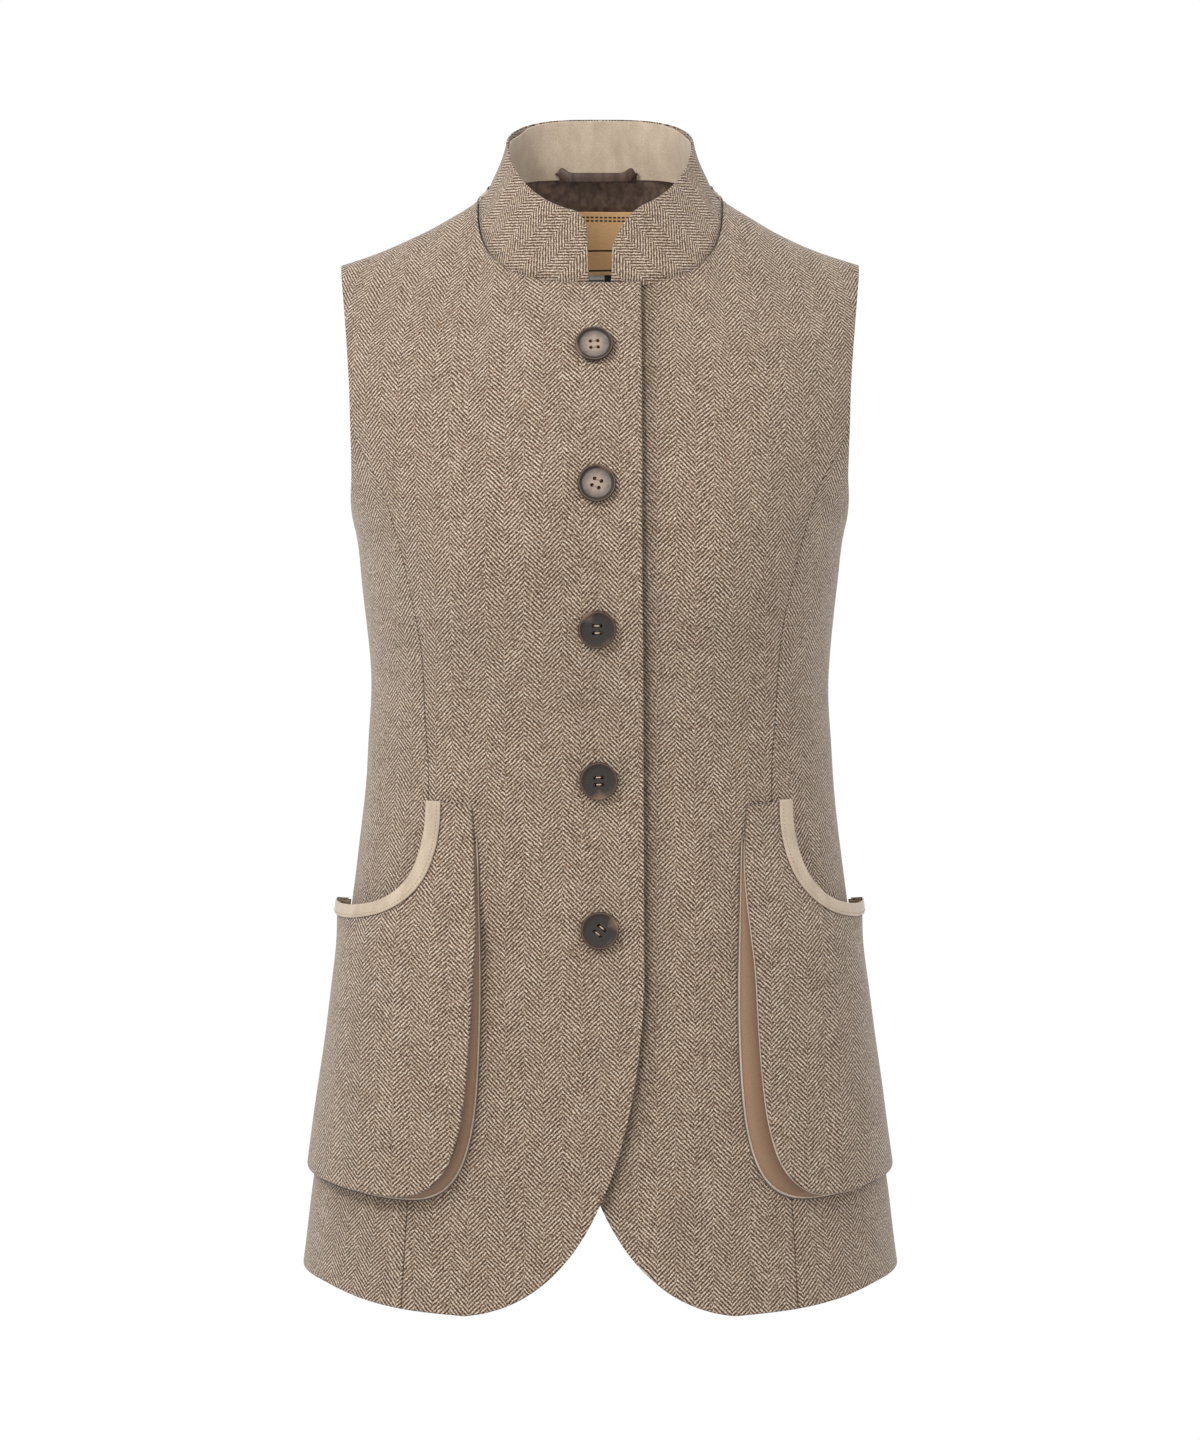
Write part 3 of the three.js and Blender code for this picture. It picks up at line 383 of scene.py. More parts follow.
def side_front_patch():
    def near(v):
        w = lerp(PANEL_HEM[1], PANEL_TOP, v)
        return pair(panel_seam(w) + SEAM, w)

    def far(v):
        return pair(SIDE - SEAM, lerp(SIDE_HEM[1], UNDERARM, v))

    def low(u):
        return hem_line(lerp(PANEL_HEM[0] + SEAM, SIDE - SEAM, u))

    def high(u):
        w = lerp(PANEL_TOP, UNDERARM, 1 - (1 - u) ** 1.6)
        girth = np.where(u >= 1, SIDE - SEAM, armhole_girth(w, False))
        return pair(np.where(u <= 0, panel_seam(w) + SEAM, girth), w)

    return patch(low, high, near, far)


def back_patch():
    top = neck_point(np.array(180.0))

    def near(v):
        return pair(2 - SEAM, lerp(float(hem_height(2)), top[1], v))

    def far(v):
        w = lerp(SIDE_HEM[1], SHOULDER_TOP, v)
        return pair(np.where(w < UNDERARM, SIDE + SEAM, armhole_girth(w, True)), w)

    def low(u):
        return hem_line(lerp(2 - SEAM, SIDE + SEAM, u))

    def high(u):
        neck = neck_point(lerp(180, 90, np.clip(u / BACK_NECK_SHARE, 0, 1)), True)
        x = lerp(NECK_HALF, SHOULDER_HALF, (u - BACK_NECK_SHARE) / (1 - BACK_NECK_SHARE))
        shoulder = pair(2 - girth_at(x, SHOULDER_TOP), SHOULDER_TOP)
        found = np.where((u <= BACK_NECK_SHARE)[..., None], neck, shoulder)
        return np.where((u <= 0)[..., None], near(np.ones_like(u)), found)

    return patch(low, high, near, far, NECK_PATCH_POWER)


def lap_lift(girth, w):
    own_x = -bare_form(girth, w)[..., 0]
    return np.where(np.abs(girth) < 1, LAP_LIFT * (1 - smooth_step(34, 88, own_x)), 0)


def under_lap(girth, w):
    """The lower front sinks a little under the upper one's edge."""
    sunk = 2.0 * (1 - smooth_step(28, 44, bare_form(girth, w)[..., 0]))
    return np.where(np.abs(girth) < 1, -sunk, 0)


# Finishes

class Wire:
    """A socket of a finish's nodes. Sums and products on it add Math nodes."""

    def __init__(self, finish, socket):
        self.finish = finish
        self.socket = socket

    def math(self, operation, *values):
        return self.finish.node("ShaderNodeMath", {"operation": operation}, *values)

    def __add__(self, other):
        return self.math("ADD", self, other)

    __radd__ = __add__

    def __sub__(self, other):
        return self.math("SUBTRACT", self, other)

    def __rsub__(self, other):
        return self.math("SUBTRACT", other, self)

    def __mul__(self, other):
        return self.math("MULTIPLY", self, other)

    __rmul__ = __mul__

    def __truediv__(self, other):
        return self.math("DIVIDE", self, other)


class Finish:
    """A material with one Principled shader and what feeds it."""

    def __init__(self, name, **constants):
        self.material = bpy.data.materials.new(name)
        self.material.use_nodes = True
        self.tree = self.material.node_tree
        self.shader = self.tree.nodes["Principled BSDF"]
        for socket, value in constants.items():
            self.shader.inputs[socket.replace("_", " ")].default_value = value

    def node(self, kind, settings, *values, output=0, **named):
        made = self.tree.nodes.new(kind)
        for key, value in settings.items():
            if key == "stops":
                self.set_stops(made.color_ramp, value)
            else:
                setattr(made, key, value)
        feeds = list(enumerate(values)) + [(key.replace("_", " "), v) for key, v in named.items()]
        for key, value in feeds:
            if isinstance(value, Wire):
                self.tree.links.new(value.socket, made.inputs[key])
            else:
                made.inputs[key].default_value = value
        return Wire(self, made.outputs[output])

    @staticmethod
    def set_stops(ramp, stops):
        while len(ramp.elements) < len(stops):
            ramp.elements.new(0.5)
        for element, (place, color) in zip(ramp.elements, stops):
            element.position = place
            element.color = (*color, 1)

    def place(self, source):
        """The piece's own UV map, in millimetres of cloth, or its Object coordinates."""
        return self.node("ShaderNodeTexCoord", {}, output={"UV": 2, "Object": 3}[source])

    def split(self, vector, output):
        return self.node("ShaderNodeSeparateXYZ", {}, vector, output=output)

    def noise(self, vector, size, detail=2.0, rough=0.5):
        return self.node("ShaderNodeTexNoise", {}, Vector=vector, Scale=1 / size, Detail=detail,
                         Roughness=rough)

    def stretched(self, vector, scale):
        return self.node("ShaderNodeMapping", {}, Vector=vector, Scale=scale)

    def mix(self, factor, a, b, blend="MIX"):
        node = self.tree.nodes.new("ShaderNodeMix")
        node.data_type = "RGBA"
        node.blend_type = blend
        for index, value in ((0, factor), (6, a), (7, b)):
            if isinstance(value, Wire):
                self.tree.links.new(value.socket, node.inputs[index])
            else:
                node.inputs[index].default_value = value if index == 0 else (*value, 1)
        return Wire(self, node.outputs[2])

    def ramp(self, factor, stops):
        return self.node("ShaderNodeValToRGB", {"stops": stops}, factor)

    def level(self, value, low, high, to_low=0.0, to_high=1.0):
        return self.node("ShaderNodeMapRange", {}, value, low, high, to_low, to_high)

    def edge(self):
        """Painted shade: 1 at a sheet's rolled edge and 0 away from it, with some also painted beside seams
        and in the fold beside the lap.
        """
        return self.node("ShaderNodeAttribute", {"attribute_name": "edge"}, output=2)

    def feed(self, socket, wire):
        self.tree.links.new(wire.socket, self.shader.inputs[socket])

    def bump(self, height, strength, distance):
        made = self.node("ShaderNodeBump", {}, Strength=strength, Distance=distance, Height=height)
        self.feed("Normal", made)


def tweed():
    """Cream and brown herringbone wool, laid out on the UV map in millimetres."""
    wool = Finish("Herringbone tweed", Roughness=0.95, Sheen_Weight=0.2, Sheen_Roughness=0.6,
                  Specular_IOR_Level=0.12)
    cut = wool.place("UV")
    sway = wool.noise(cut, 40.0, 1.0) - 0.5
    shake = wool.noise(cut, 3.2, 2.0) - 0.5
    across = wool.split(cut, 0) + sway * 2.0
    up = wool.split(cut, 1) + sway * 3.0
    zigzag = wool.node("ShaderNodeMath", {"operation": "PINGPONG"}, across, COLUMN)
    column = wool.node("ShaderNodeMath", {"operation": "FLOOR"}, across / COLUMN)
    parity = wool.node("ShaderNodeMath", {"operation": "FLOORED_MODULO"}, column, 2.0)
    phase = (up + zigzag * TWILL_SLOPE + shake * 1.5) / TWILL + parity * 0.4
    twill = wool.node("ShaderNodeMath", {"operation": "SINE"}, phase * tau) * 0.5 + 0.5
    along = (up - zigzag * TWILL_SLOPE) / 2.2 + shake * 1.5
    beads = wool.node("ShaderNodeMath", {"operation": "SINE"}, along * tau) * 0.5 + 0.5
    turned = wool.node("ShaderNodeCombineXYZ", {}, phase * 2.0, along * 0.9, column * 7.3)
    yarn = wool.noise(turned, 1.0, 2.0, 0.7)
    fleck = wool.noise(cut, 1.15, 1.0, 0.6)
    cloud = wool.noise(cut, 22.0, 2.0)
    tone = (twill * 0.62 + beads * 0.10 + (yarn - 0.5) * 1.15 + (fleck - 0.5) * 1.1
            + (cloud - 0.5) * 0.15 + 0.14)
    color = wool.ramp(tone, [
        (0.08, (0.024, 0.013, 0.008)),
        (0.30, (0.080, 0.047, 0.028)),
        (0.52, (0.190, 0.129, 0.086)),
        (0.74, (0.358, 0.279, 0.205)),
        (1.00, (0.560, 0.480, 0.385)),
    ])
    russet = wool.level(wool.noise(cut, 1.4, 1.0), 0.62, 0.72)
    color = wool.mix(russet * 0.4, color, (0.17, 0.085, 0.040))
    # Painted shade: the wool darkens at its rolled edges, beside its seams and beside the lap's edge.
    color = wool.mix(wool.edge() * 0.65, color, (0.030, 0.018, 0.012))
    wool.feed("Base Color", color)
    wool.bump(twill * 0.6 + beads * 0.2 + yarn * 0.5 + fleck * 0.3, 0.4, 0.6 * MM)
    return wool.material


def moleskin(name, dark, pale):
    """Brushed cotton with a short nap."""
    nap = Finish(name, Roughness=0.92, Sheen_Weight=0.3, Sheen_Roughness=0.5,
                 Specular_IOR_Level=0.2)
    where = nap.place("Object")
    grain = nap.noise(where, 0.9 * MM, 3.0, 0.65)
    brushed = nap.noise(nap.stretched(where, (1.0, 1.0, 0.45)), 9 * MM, 3.0)
    nap.feed("Base Color", nap.ramp(grain * 0.55 + brushed * 0.45, [(0.28, dark), (0.72, pale)]))
    nap.bump(grain, 0.3, 0.3 * MM)
    return nap.material


def gusset_cloth():
    """The gusset's brushed cotton, with painted shade that makes it darker towards the pocket's face."""
    nap = Finish("Brown moleskin", Roughness=0.92, Sheen_Weight=0.1, Sheen_Roughness=0.5,
                 Specular_IOR_Level=0.1)
    grain = nap.noise(nap.place("Object"), 0.9 * MM, 3.0, 0.65)
    width = nap.split(nap.place("UV"), 1)
    # Painted shade: the tone darkens across the gusset from its foot towards the pocket's face.
    tone = nap.level(width, 25, 100, 0.62, 0.22) + (grain - 0.5) * 0.45
    nap.feed("Base Color", nap.ramp(tone, [(0.1, (0.095, 0.052, 0.031)), (0.7, (0.255, 0.160, 0.102))]))
    nap.bump(grain, 0.3, 0.3 * MM)
    return nap.material


def satin(name, dark, pale):
    """Lining with a fine lengthwise thread, a soft gloss, and the light and shade of soft folds painted into
    its colour.
    """
    silk = Finish(name, Roughness=0.5, Specular_IOR_Level=0.3)
    where = silk.place("Object")
    threads = silk.noise(silk.stretched(where, (1.0, 1.0, 0.06)), 0.8 * MM, 2.0)
    folds = silk.noise(silk.stretched(where, (1.0, 1.0, 0.10)), 4 * MM, 1.0)
    # The colour is partly the thread's own tone and partly painted shade and highlight of soft folds.
    silk.feed("Base Color", silk.ramp(threads * 0.25 + folds * 0.75, [(0.3, dark), (0.7, pale)]))
    silk.bump(threads * 0.1 + folds, 0.35, 1.5 * MM)
    return silk.material


def ribbon(name, ground, line, lines=(), dashes=()):
    """A woven ribbon on its UV map in millimetres, with plain woven lines across it."""
    tape = Finish(name, Roughness=0.75, Specular_IOR_Level=0.25)
    cut = tape.place("UV")
    ribs = tape.noise(tape.stretched(cut, (0.25, 2.0, 1.0)), 1.2, 2.0)
    color = tape.ramp(ribs, [(0.3, tuple(0.82 * c for c in ground)), (0.7, ground)])
    up = tape.split(cut, 1)
    across = tape.split(cut, 0)
    for height in (*lines, *dashes):
        away = tape.node("ShaderNodeMath", {"operation": "ABSOLUTE"}, up - height)
        band = tape.level(away, 0.75, 0.5)
        if height in dashes:
            wave = tape.node("ShaderNodeMath", {"operation": "SINE"}, across * (tau / 3.2))
            band = band * tape.level(wave, -0.75, -0.35)
        color = tape.mix(band, color, line)
    tape.feed("Base Color", color)
    tape.bump(ribs, 0.25, 0.2 * MM)
    return tape.material


def horn(name, middle, outer, rim, painted_ring_highlight, streak):
    """A button's horn: the UV map is 0 at its centre and 1 at its edge."""
    shell = Finish(name, Specular_IOR_Level=0.08)
    disc = shell.place("UV")
    radius = shell.node("ShaderNodeVectorMath", {"operation": "LENGTH"}, disc, output=1)
    clouds = shell.noise(shell.stretched(disc, (1.4, 2.6, 1.0)), 0.8, 4.0, 0.6)
    specks = shell.noise(disc, 0.06, 2.0)
    color = shell.ramp(radius + (clouds - 0.5) * 0.5, [(0.25, middle), (0.75, outer)])
    aside = shell.node("ShaderNodeMath", {"operation": "ABSOLUTE"}, shell.split(disc, 1))
    grain = shell.noise(shell.stretched(disc, (1.0, 3.0, 1.0)), 0.35, 3.0)
    toward = shell.split(disc, 0) - aside * 0.7 + (grain - 0.5) * 0.4
    streaked = shell.level(toward, 0.40, 0.95) * 0.55
    color = shell.mix(streaked, color, streak)
    color = shell.mix(shell.level(radius, 0.72, 0.80), color, shell.mix(streaked, rim, streak))
    # A thin pale ring on the rim: a painted highlight.
    from_painted_highlight = shell.node("ShaderNodeMath", {"operation": "ABSOLUTE"}, radius - 0.93)
    color = shell.mix(shell.level(from_painted_highlight, 0.024, 0.010) * 0.5, color, painted_ring_highlight)
    color = shell.mix(specks * 0.06, color, (0.6, 0.55, 0.5))
    shell.feed("Base Color", color)
    shell.feed("Roughness", shell.level(clouds, 0.3, 0.7, 0.3, 0.45))
    shell.bump(specks, 0.08, 0.1 * MM)
    return shell.material


def plain_thread(name, color):
    thread = Finish(name, Roughness=0.7, Sheen_Weight=0.2)
    where = thread.place("Object")
    ply = thread.noise(where, 0.35 * MM, 2.0)
    thread.feed("Base Color", thread.ramp(ply, [(0.3, tuple(0.6 * c for c in color)), (0.7, color)]))
    thread.bump(ply, 0.4, 0.1 * MM)
    return thread.material


TWEED = tweed()
MOLESKIN = moleskin("Beige moleskin", (0.300, 0.232, 0.167), (0.505, 0.412, 0.315))
GUSSET = gusset_cloth()
SATIN = satin("Lining satin", (0.095, 0.060, 0.044), (0.235, 0.160, 0.120))
STRAP = satin("Strap satin", (0.042, 0.026, 0.018), (0.092, 0.056, 0.039))
LABEL_RIBBON = ribbon("Label ribbon", (0.88, 0.54, 0.26), (0.035, 0.022, 0.016),
                      lines=(-26.8, -40.8), dashes=(-3.3, -5.7))
WHITE_TAPE = ribbon("White tape", (0.95, 0.93, 0.88), (0.12, 0.1, 0.09), lines=(-48.5,))
DARK_TAPE = ribbon("Dark tape", (0.055, 0.042, 0.034), (0.2, 0.16, 0.12))
# Each horn's colours: middle, outer, rim, the rim's painted highlight, and streak.
PALE_HORN = horn("Pale horn", (0.300, 0.226, 0.176), (0.085, 0.074, 0.070), (0.022, 0.012, 0.008),
                 (0.22, 0.16, 0.125), (0.17, 0.11, 0.075))
DARK_HORN = horn("Dark horn", (0.019, 0.017, 0.016), (0.019, 0.016, 0.015), (0.032, 0.017, 0.011),
                 (0.16, 0.11, 0.08), (0.26, 0.165, 0.105))
BEIGE_THREAD = plain_thread("Beige thread", (0.55, 0.42, 0.30))
# Brown thread, also used for the painted shadow along the pockets' gusset seams.
BROWN_THREAD_AND_PAINTED_SHADOW = plain_thread("Brown thread", (0.10, 0.07, 0.05))
FAWN_THREAD = plain_thread("Fawn thread", (0.26, 0.19, 0.145))
TRIM_THREAD = plain_thread("Trim thread", (0.40, 0.30, 0.20))


# Makers of sheets, tubes and stitches

def places(length, step, marks=(0, 1)):
    """Places from 0 to 1, about a step apart between marks and closer near both ends."""
    found = set()
    for start, end in zip(marks, marks[1:]):
        count = max(1, round((end - start) * length / step))
        found |= {round(p, 9) for p in np.linspace(start, end, count + 1)}
    close = [d / length for d in (0.3, 0.8, 1.6)]
    inner = [p for p in found if close[-1] < p < 1 - close[-1]]
    return np.array(sorted({0.0, 1.0, *close, *(1 - c for c in close), *inner}))


def edge_distances(points):
    """How far each grid point lies from the sheet's near, far, low and high edge."""
    found = []
    for axis in (1, 0):
        steps = np.linalg.norm(np.diff(points, axis=axis), axis=-1)
        run = np.concatenate([np.zeros_like(np.take(steps, [0], axis)), np.cumsum(steps, axis)], axis)
        found += [run, np.take(run, [-1], axis) - run]
    return found


def edge_drop(distances, radii):
    """How far each grid point sinks where the sheet's edges are rolled."""
    drop = np.zeros(distances[0].shape)
    for distance, r in zip(distances, radii):
        inside = np.clip(r - distance, 0, r)
        drop = np.maximum(drop, r - np.sqrt(r * r - inside * inside))
    return drop


def seam_shade(distances, widths):
    """How much painted shade the cloth gets in the valleys beside its seams, from 0 to 1."""
    shade = np.zeros(distances[0].shape)
    for distance, width in zip(distances, widths):
        if width > 0:
            shade = np.maximum(shade, np.exp(-((distance / width) ** 2)))
    return shade


def finish_piece(name, mesh_builder, finishes, replaces=()):
    """Turns a bmesh into a piece of the waistcoat that rides on its body."""
    mesh = bpy.data.meshes.new(name)
    mesh_builder.to_mesh(mesh)
    mesh_builder.free()
    mesh.polygons.foreach_set("use_smooth", [True] * len(mesh.polygons))
    for finish in finishes:
        mesh.materials.append(finish)
    piece = bpy.data.objects.new(name, mesh)
    bpy.context.scene.collection.objects.link(piece)
    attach(piece, "root")
    if replaces:
        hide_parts(*replaces)
    return piece


def lay(name, us, vs, place, cut, wall, finishes, replaces, rolls=(0, 0, 0, 0),
        seams=(0, 0, 0, 0), rim=1.0, shade=None, inward=False):
    """A sheet of cloth on a grid: place(u, v) gives its shown side and cut(u, v) its weave."""
    u, v = np.meshgrid(us, vs)
    points = place(u, v)
    distances = edge_distances(points)
    drop = edge_drop(distances, rolls)
    # dark is painted shade: along rolled edges as far as they sink, up to 1 mm and scaled by rim, in the
    # valleys beside seams (seams gives their widths in millimetres), and from shade(), such as the painted
    # shadow beside the lap.
    dark = np.maximum(np.minimum(drop, 1) * rim, 0.5 * seam_shade(distances, seams))
    if shade:
        dark = np.maximum(dark, shade(points, v))
    sheet = bmesh.new()
    columns, rows = len(us) - 1, len(vs) - 1
    bmesh.ops.create_grid(sheet, x_segments=columns, y_segments=rows, size=1)
    sheet.verts.ensure_lookup_table()
    index = [
        (round((p.co.y + 1) / 2 * rows), round((p.co.x + 1) / 2 * columns)) for p in sheet.verts
    ]
    for vertex, (i, j) in zip(sheet.verts, index):
        vertex.co = Vector(points[i, j]) * MM
    sheet.normal_update()
    facing = sum(f.normal.x * f.calc_center_median().x + f.normal.y * f.calc_center_median().y
                 for f in sheet.faces)
    if (facing < 0) != inward:
        bmesh.ops.reverse_faces(sheet, faces=sheet.faces)
        sheet.normal_update()
    normals = [vertex.normal.copy() for vertex in sheet.verts]
    for vertex, normal, (i, j) in zip(sheet.verts, normals, index):
        vertex.co -= normal * drop[i, j] * MM
    area = sum(face.calc_area() for face in sheet.faces)
    piece = finish_piece(name, sheet, finishes, replaces)
    laid = cut(u, v) if cut else np.stack([u * 100, v * 100], -1)
    flat = np.array([laid[i, j] for i, j in index])
    corners = np.empty(len(piece.data.loops), int)
    piece.data.loops.foreach_get("vertex_index", corners)
    piece.data.uv_layers.new(name="cut").data.foreach_set("uv", flat[corners].ravel())
    group = piece.vertex_groups.new(name="wall")
    for vertex, (i, j) in enumerate(index):
        group.add([vertex], float(1 - min(drop[i, j] / wall, 0.9)), "REPLACE")
    # The edge attribute carries the painted shade to the finish.
    edge = piece.data.attributes.new("edge", "FLOAT", "POINT")
    edge.data.foreach_set("value", np.array([dark[i, j] for i, j in index], np.float32))
    thicken = piece.modifiers.new("Wall", "SOLIDIFY")
    thicken.thickness = wall * MM
    thicken.offset = -1
    thicken.vertex_group = "wall"
    thicken.material_offset = len(finishes) - 1
    width, length = (
        float(np.linalg.norm(np.diff(points, axis=axis), axis=-1).sum(axis).max()) * MM
        for axis in (1, 0)
    )
    return piece


def add_tube(shape, path, radius, sides=8, rounded=True):
    """Adds a closed tube along a path of points to a bmesh."""
    path = np.array(path, float)
    last = len(path) - 1
    made = bmesh.ops.create_grid(shape, x_segments=sides, y_segments=last, size=1)["verts"]
    along = unit(np.gradient(path, axis=0))
    for vertex in made:
        i = round((vertex.co.y + 1) / 2 * last)
        turn = -pi * vertex.co.x
        direction = Vector(along[i])
        side = direction.cross(Vector((0.13, 0.21, 0.97))).normalized()
        other = direction.cross(side)
        end = abs(2 * i / last - 1)
        r = radius * ((1 - end**6) ** 0.5 if rounded else 1)
        vertex.co = (Vector(path[i]) + (side * cos(turn) + other * sin(turn)) * r) * MM
    bmesh.ops.remove_doubles(shape, verts=made, dist=1e-6)


def tubes(name, paths, radius, finish, sides=8):
    shape = bmesh.new()
    for path in paths:
        add_tube(shape, path, radius, sides)
    bmesh.ops.recalc_face_normals(shape, faces=shape.faces)
    return finish_piece(name, shape, [finish])


def stitches(name, line, pitch, length, radius, lift, finish):
    """A row of stitches along a line of points, each given with the way off the cloth."""
    points, normals = line
    run = np.concatenate([[0], np.cumsum(np.linalg.norm(np.diff(points, axis=0), axis=1))])
    paths = []
    for start in np.arange(pitch / 2, run[-1] - pitch, pitch):
        at = start + np.linspace(0, length, 5)
        base = np.stack([np.interp(at, run, points[:, k]) for k in range(3)], -1)
        off = np.stack([np.interp(at, run, normals[:, k]) for k in range(3)], -1)
        arch = lift * np.sin(np.linspace(0, pi, 5))
        paths.append(base + unit(off) * arch[:, None])
    return tubes(name, paths, radius, finish, sides=5)


# Body panels

def make_body():
    for name, side in (("right", -1), ("left", 1)):
        lift = lap_lift if side < 0 else under_lap

        def shown(domain, side=side, lift=lift):
            def place(u, v):
                girth, w = domain(u, v)
                return on_form(side * girth, w, BODY_WALL + lift(side * girth, w))
            return place

        def woven(domain, grain, side=side):
            return lambda u, v: FLAT.cut(*domain(u, v), grain) * [side, 1]

        front = front_patch()
        panel_row = (PANEL_TOP - PANEL_HEM[1]) / (SHOULDER_TOP - PANEL_HEM[1])
        # rolls, seams and shade also paint shade into the tweed: at rolled edges, beside the neck and shoulder
        # seams, and as the painted shadow beside the upper front's edge on the left front.
        lay(f"front_{name}_tweed", places(210, 3, (0, NECK_SHARE, 1)),
            places(860, 3, (0, panel_row, 1)), shown(front), front_cut(front, side), BODY_WALL,
            [TWEED, SATIN], [f"front_{name}"], rolls=(1.2, 1.1, 1.2, 1.3),
            seams=(0, 0, 0, 2.2), shade=lap_shade if side > 0 else None)
        side_front = side_front_patch()
        lay(f"side_front_{name}_tweed", places(120, 3), places(560, 3), shown(side_front),
            woven(side_front, 0.86), BODY_WALL, [TWEED, SATIN], [f"side_front_{name}"],
            rolls=(1.1, 1.0, 1.2, 1.2))
        back = back_patch()
        underarm_row = (UNDERARM - SIDE_HEM[1]) / (SHOULDER_TOP - SIDE_HEM[1])
        lay(f"back_{name}_tweed", places(230, 3.4, (0, BACK_NECK_SHARE, 1)),
            places(860, 3.4, (0, underarm_row, 1)), shown(back), woven(back, 2.0), BODY_WALL,
            [TWEED], [f"back_{name}"], rolls=(1.0, 1.0, 1.2, 1.3), seams=(0, 0, 0, 2.2))


def lap_shade(points, v):
    """Painted shadow of the upper front's edge: the lower front is darker in the fold beside the upper one's
    edge.
    """
    x, z = points[..., 0], points[..., 2]
    straight = np.interp(z, [EDGE_LOW_Z, NECK_FRONT_Z], [-EDGE_LOW_X, -EDGE_TOP_X])
    rounded = -np.interp(-z, -CUTAWAY_Z, CUTAWAY_X)
    beyond = x - np.where(z > EDGE_LOW_Z, straight, rounded)
    return 0.62 * np.exp(-((np.maximum(beyond, 0) / 10) ** 2))


def front_cut(domain, side):
    """The front's weave. Its thread is straight up the middle of the figure on both sides of it."""
    def cut(u, v):
        girth, w = domain(u, v)
        flat = FLAT.cut(girth, w, 0.0)
        flat[..., 0] *= np.sign(girth) * side
        return flat
    return cut


# Lining of the back, with soft folds up to the neck seam

PLEAT_X = -1.5


def lining_fold(x, z):
    """How far the lining's folds stand in towards the wearer."""
    ripple = 0.5 + 0.5 * np.sin(x / 2.7 + 1.4 * np.sin(x / 13) + z / 60)
    small = 0.5 + 0.5 * np.sin(x / 1.3 + 0.9 * np.sin(x / 7) - z / 40 + 1)
    below = smooth_step(-150, -20, z)
    covered = 0.7 * smooth_step(36, 28, np.abs(x - 1)) * smooth_step(4, 0, z)
    beyond = x - PLEAT_X
    pleat = np.where(beyond > 0, np.exp(-np.maximum(beyond, 0) / 6), np.exp(np.minimum(beyond, 0) / 0.7))
    return below * (1 - covered) * (0.8 * ripple**2 + 0.2 * small + 1.2 * pleat)


def make_lining():
    half = back_patch()

    def domain(u, v):
        girth, w = half(np.abs(2 * u - 1), v)
        return np.where(u < 0.5, 4 - girth, girth), w

    def place(u, v):
        girth, w = domain(u, v)
        bare = bare_form(girth, w)
        return on_form(girth, w, -LINING_FACE - lining_fold(bare[..., 0], bare[..., 2]))

    us = places(460, 1.5)
    middle = (1 - us[us < 0.4999])[::-1]
    us = np.concatenate([1 - middle[::-1], middle])
    rows = np.array(sorted({*np.linspace(0.02, 0.86, 50), *np.linspace(0.86, 1, 66)}))
    lay("back_lining_satin", us, rows, place, None, LINING_WALL, [SATIN],
        ["back_lining"], inward=True)


# Collar and its facing

COLLAR_START = float(neck_degrees(COLLAR_END_X))


def collar_point(side, degrees, rise, least_climb=0.0):
    """A point of the collar's outer side, by its angle round the neck and its share of the height."""
    rim = neck_point(degrees)
    lift = np.where(side < 0, lap_lift(-rim[..., 0], rim[..., 1]), 0)
    base = on_form(side * rim[..., 0], rim[..., 1], BODY_WALL + lift)
    near = np.minimum(degrees, 178)
    before, after = neck_point(near - 2), neck_point(near + 2)
    along = (bare_form(side * after[..., 0], after[..., 1])
             - bare_form(side * before[..., 0], before[..., 1]))
    here = neck_point(near)
    outward = unit(np.cross(along, form_normal(side * here[..., 0], here[..., 1])) * -side[..., None])
    base = base + outward * COLLAR_SEAT
    start = np.arcsin(COLLAR_TOP_END_X / TOP_HALF)
    angle = lerp(start, pi, (degrees - COLLAR_START) / (180 - COLLAR_START))
    ahead = np.cos(angle)
    power = np.where(ahead > 0, 1.0, TOP_BACK_POWER)
    aside = np.clip(np.sin(angle), 0, 1) ** power
    away = np.abs(ahead) ** power
    top = np.stack([
        side * TOP_HALF * aside,
        TOP_MID_Y + np.where(ahead > 0, -TOP_TO_FRONT, TOP_TO_BACK) * away,
        np.where(ahead > 0, lerp(TOP_SIDE, TOP_FRONT, away), lerp(TOP_SIDE, TOP_BACK, away**TOP_BACK_FALL)),
    ], -1)
    point = lerp(base, top, rise[..., None])
    climb = np.maximum(np.abs(rise) / COLLAR_PULL_RISE, least_climb)
    pull = COLLAR_HOLLOW * 4 * np.abs(rise) * (1 - rise) + COLLAR_PULL * climb * np.exp(1 - climb)
    point[..., 0] -= side * pull * np.sin(angle) ** 2
    return point


def collar_height(side, degrees, start):
    """How much of its full height the collar has near its rounded front corners."""
    run = np.where(side < 0, COLLAR_CORNERS[-1][0], COLLAR_CORNERS[1][0])
    fall = np.where(side < 0, COLLAR_CORNERS[-1][1], COLLAR_CORNERS[1][1])
    along = np.clip(np.radians(degrees - start) * TOP_HALF / run, 0, 1)
    return 1 - fall * (1 - np.sqrt(1 - (1 - along) ** 2)) / COLLAR_HEIGHT


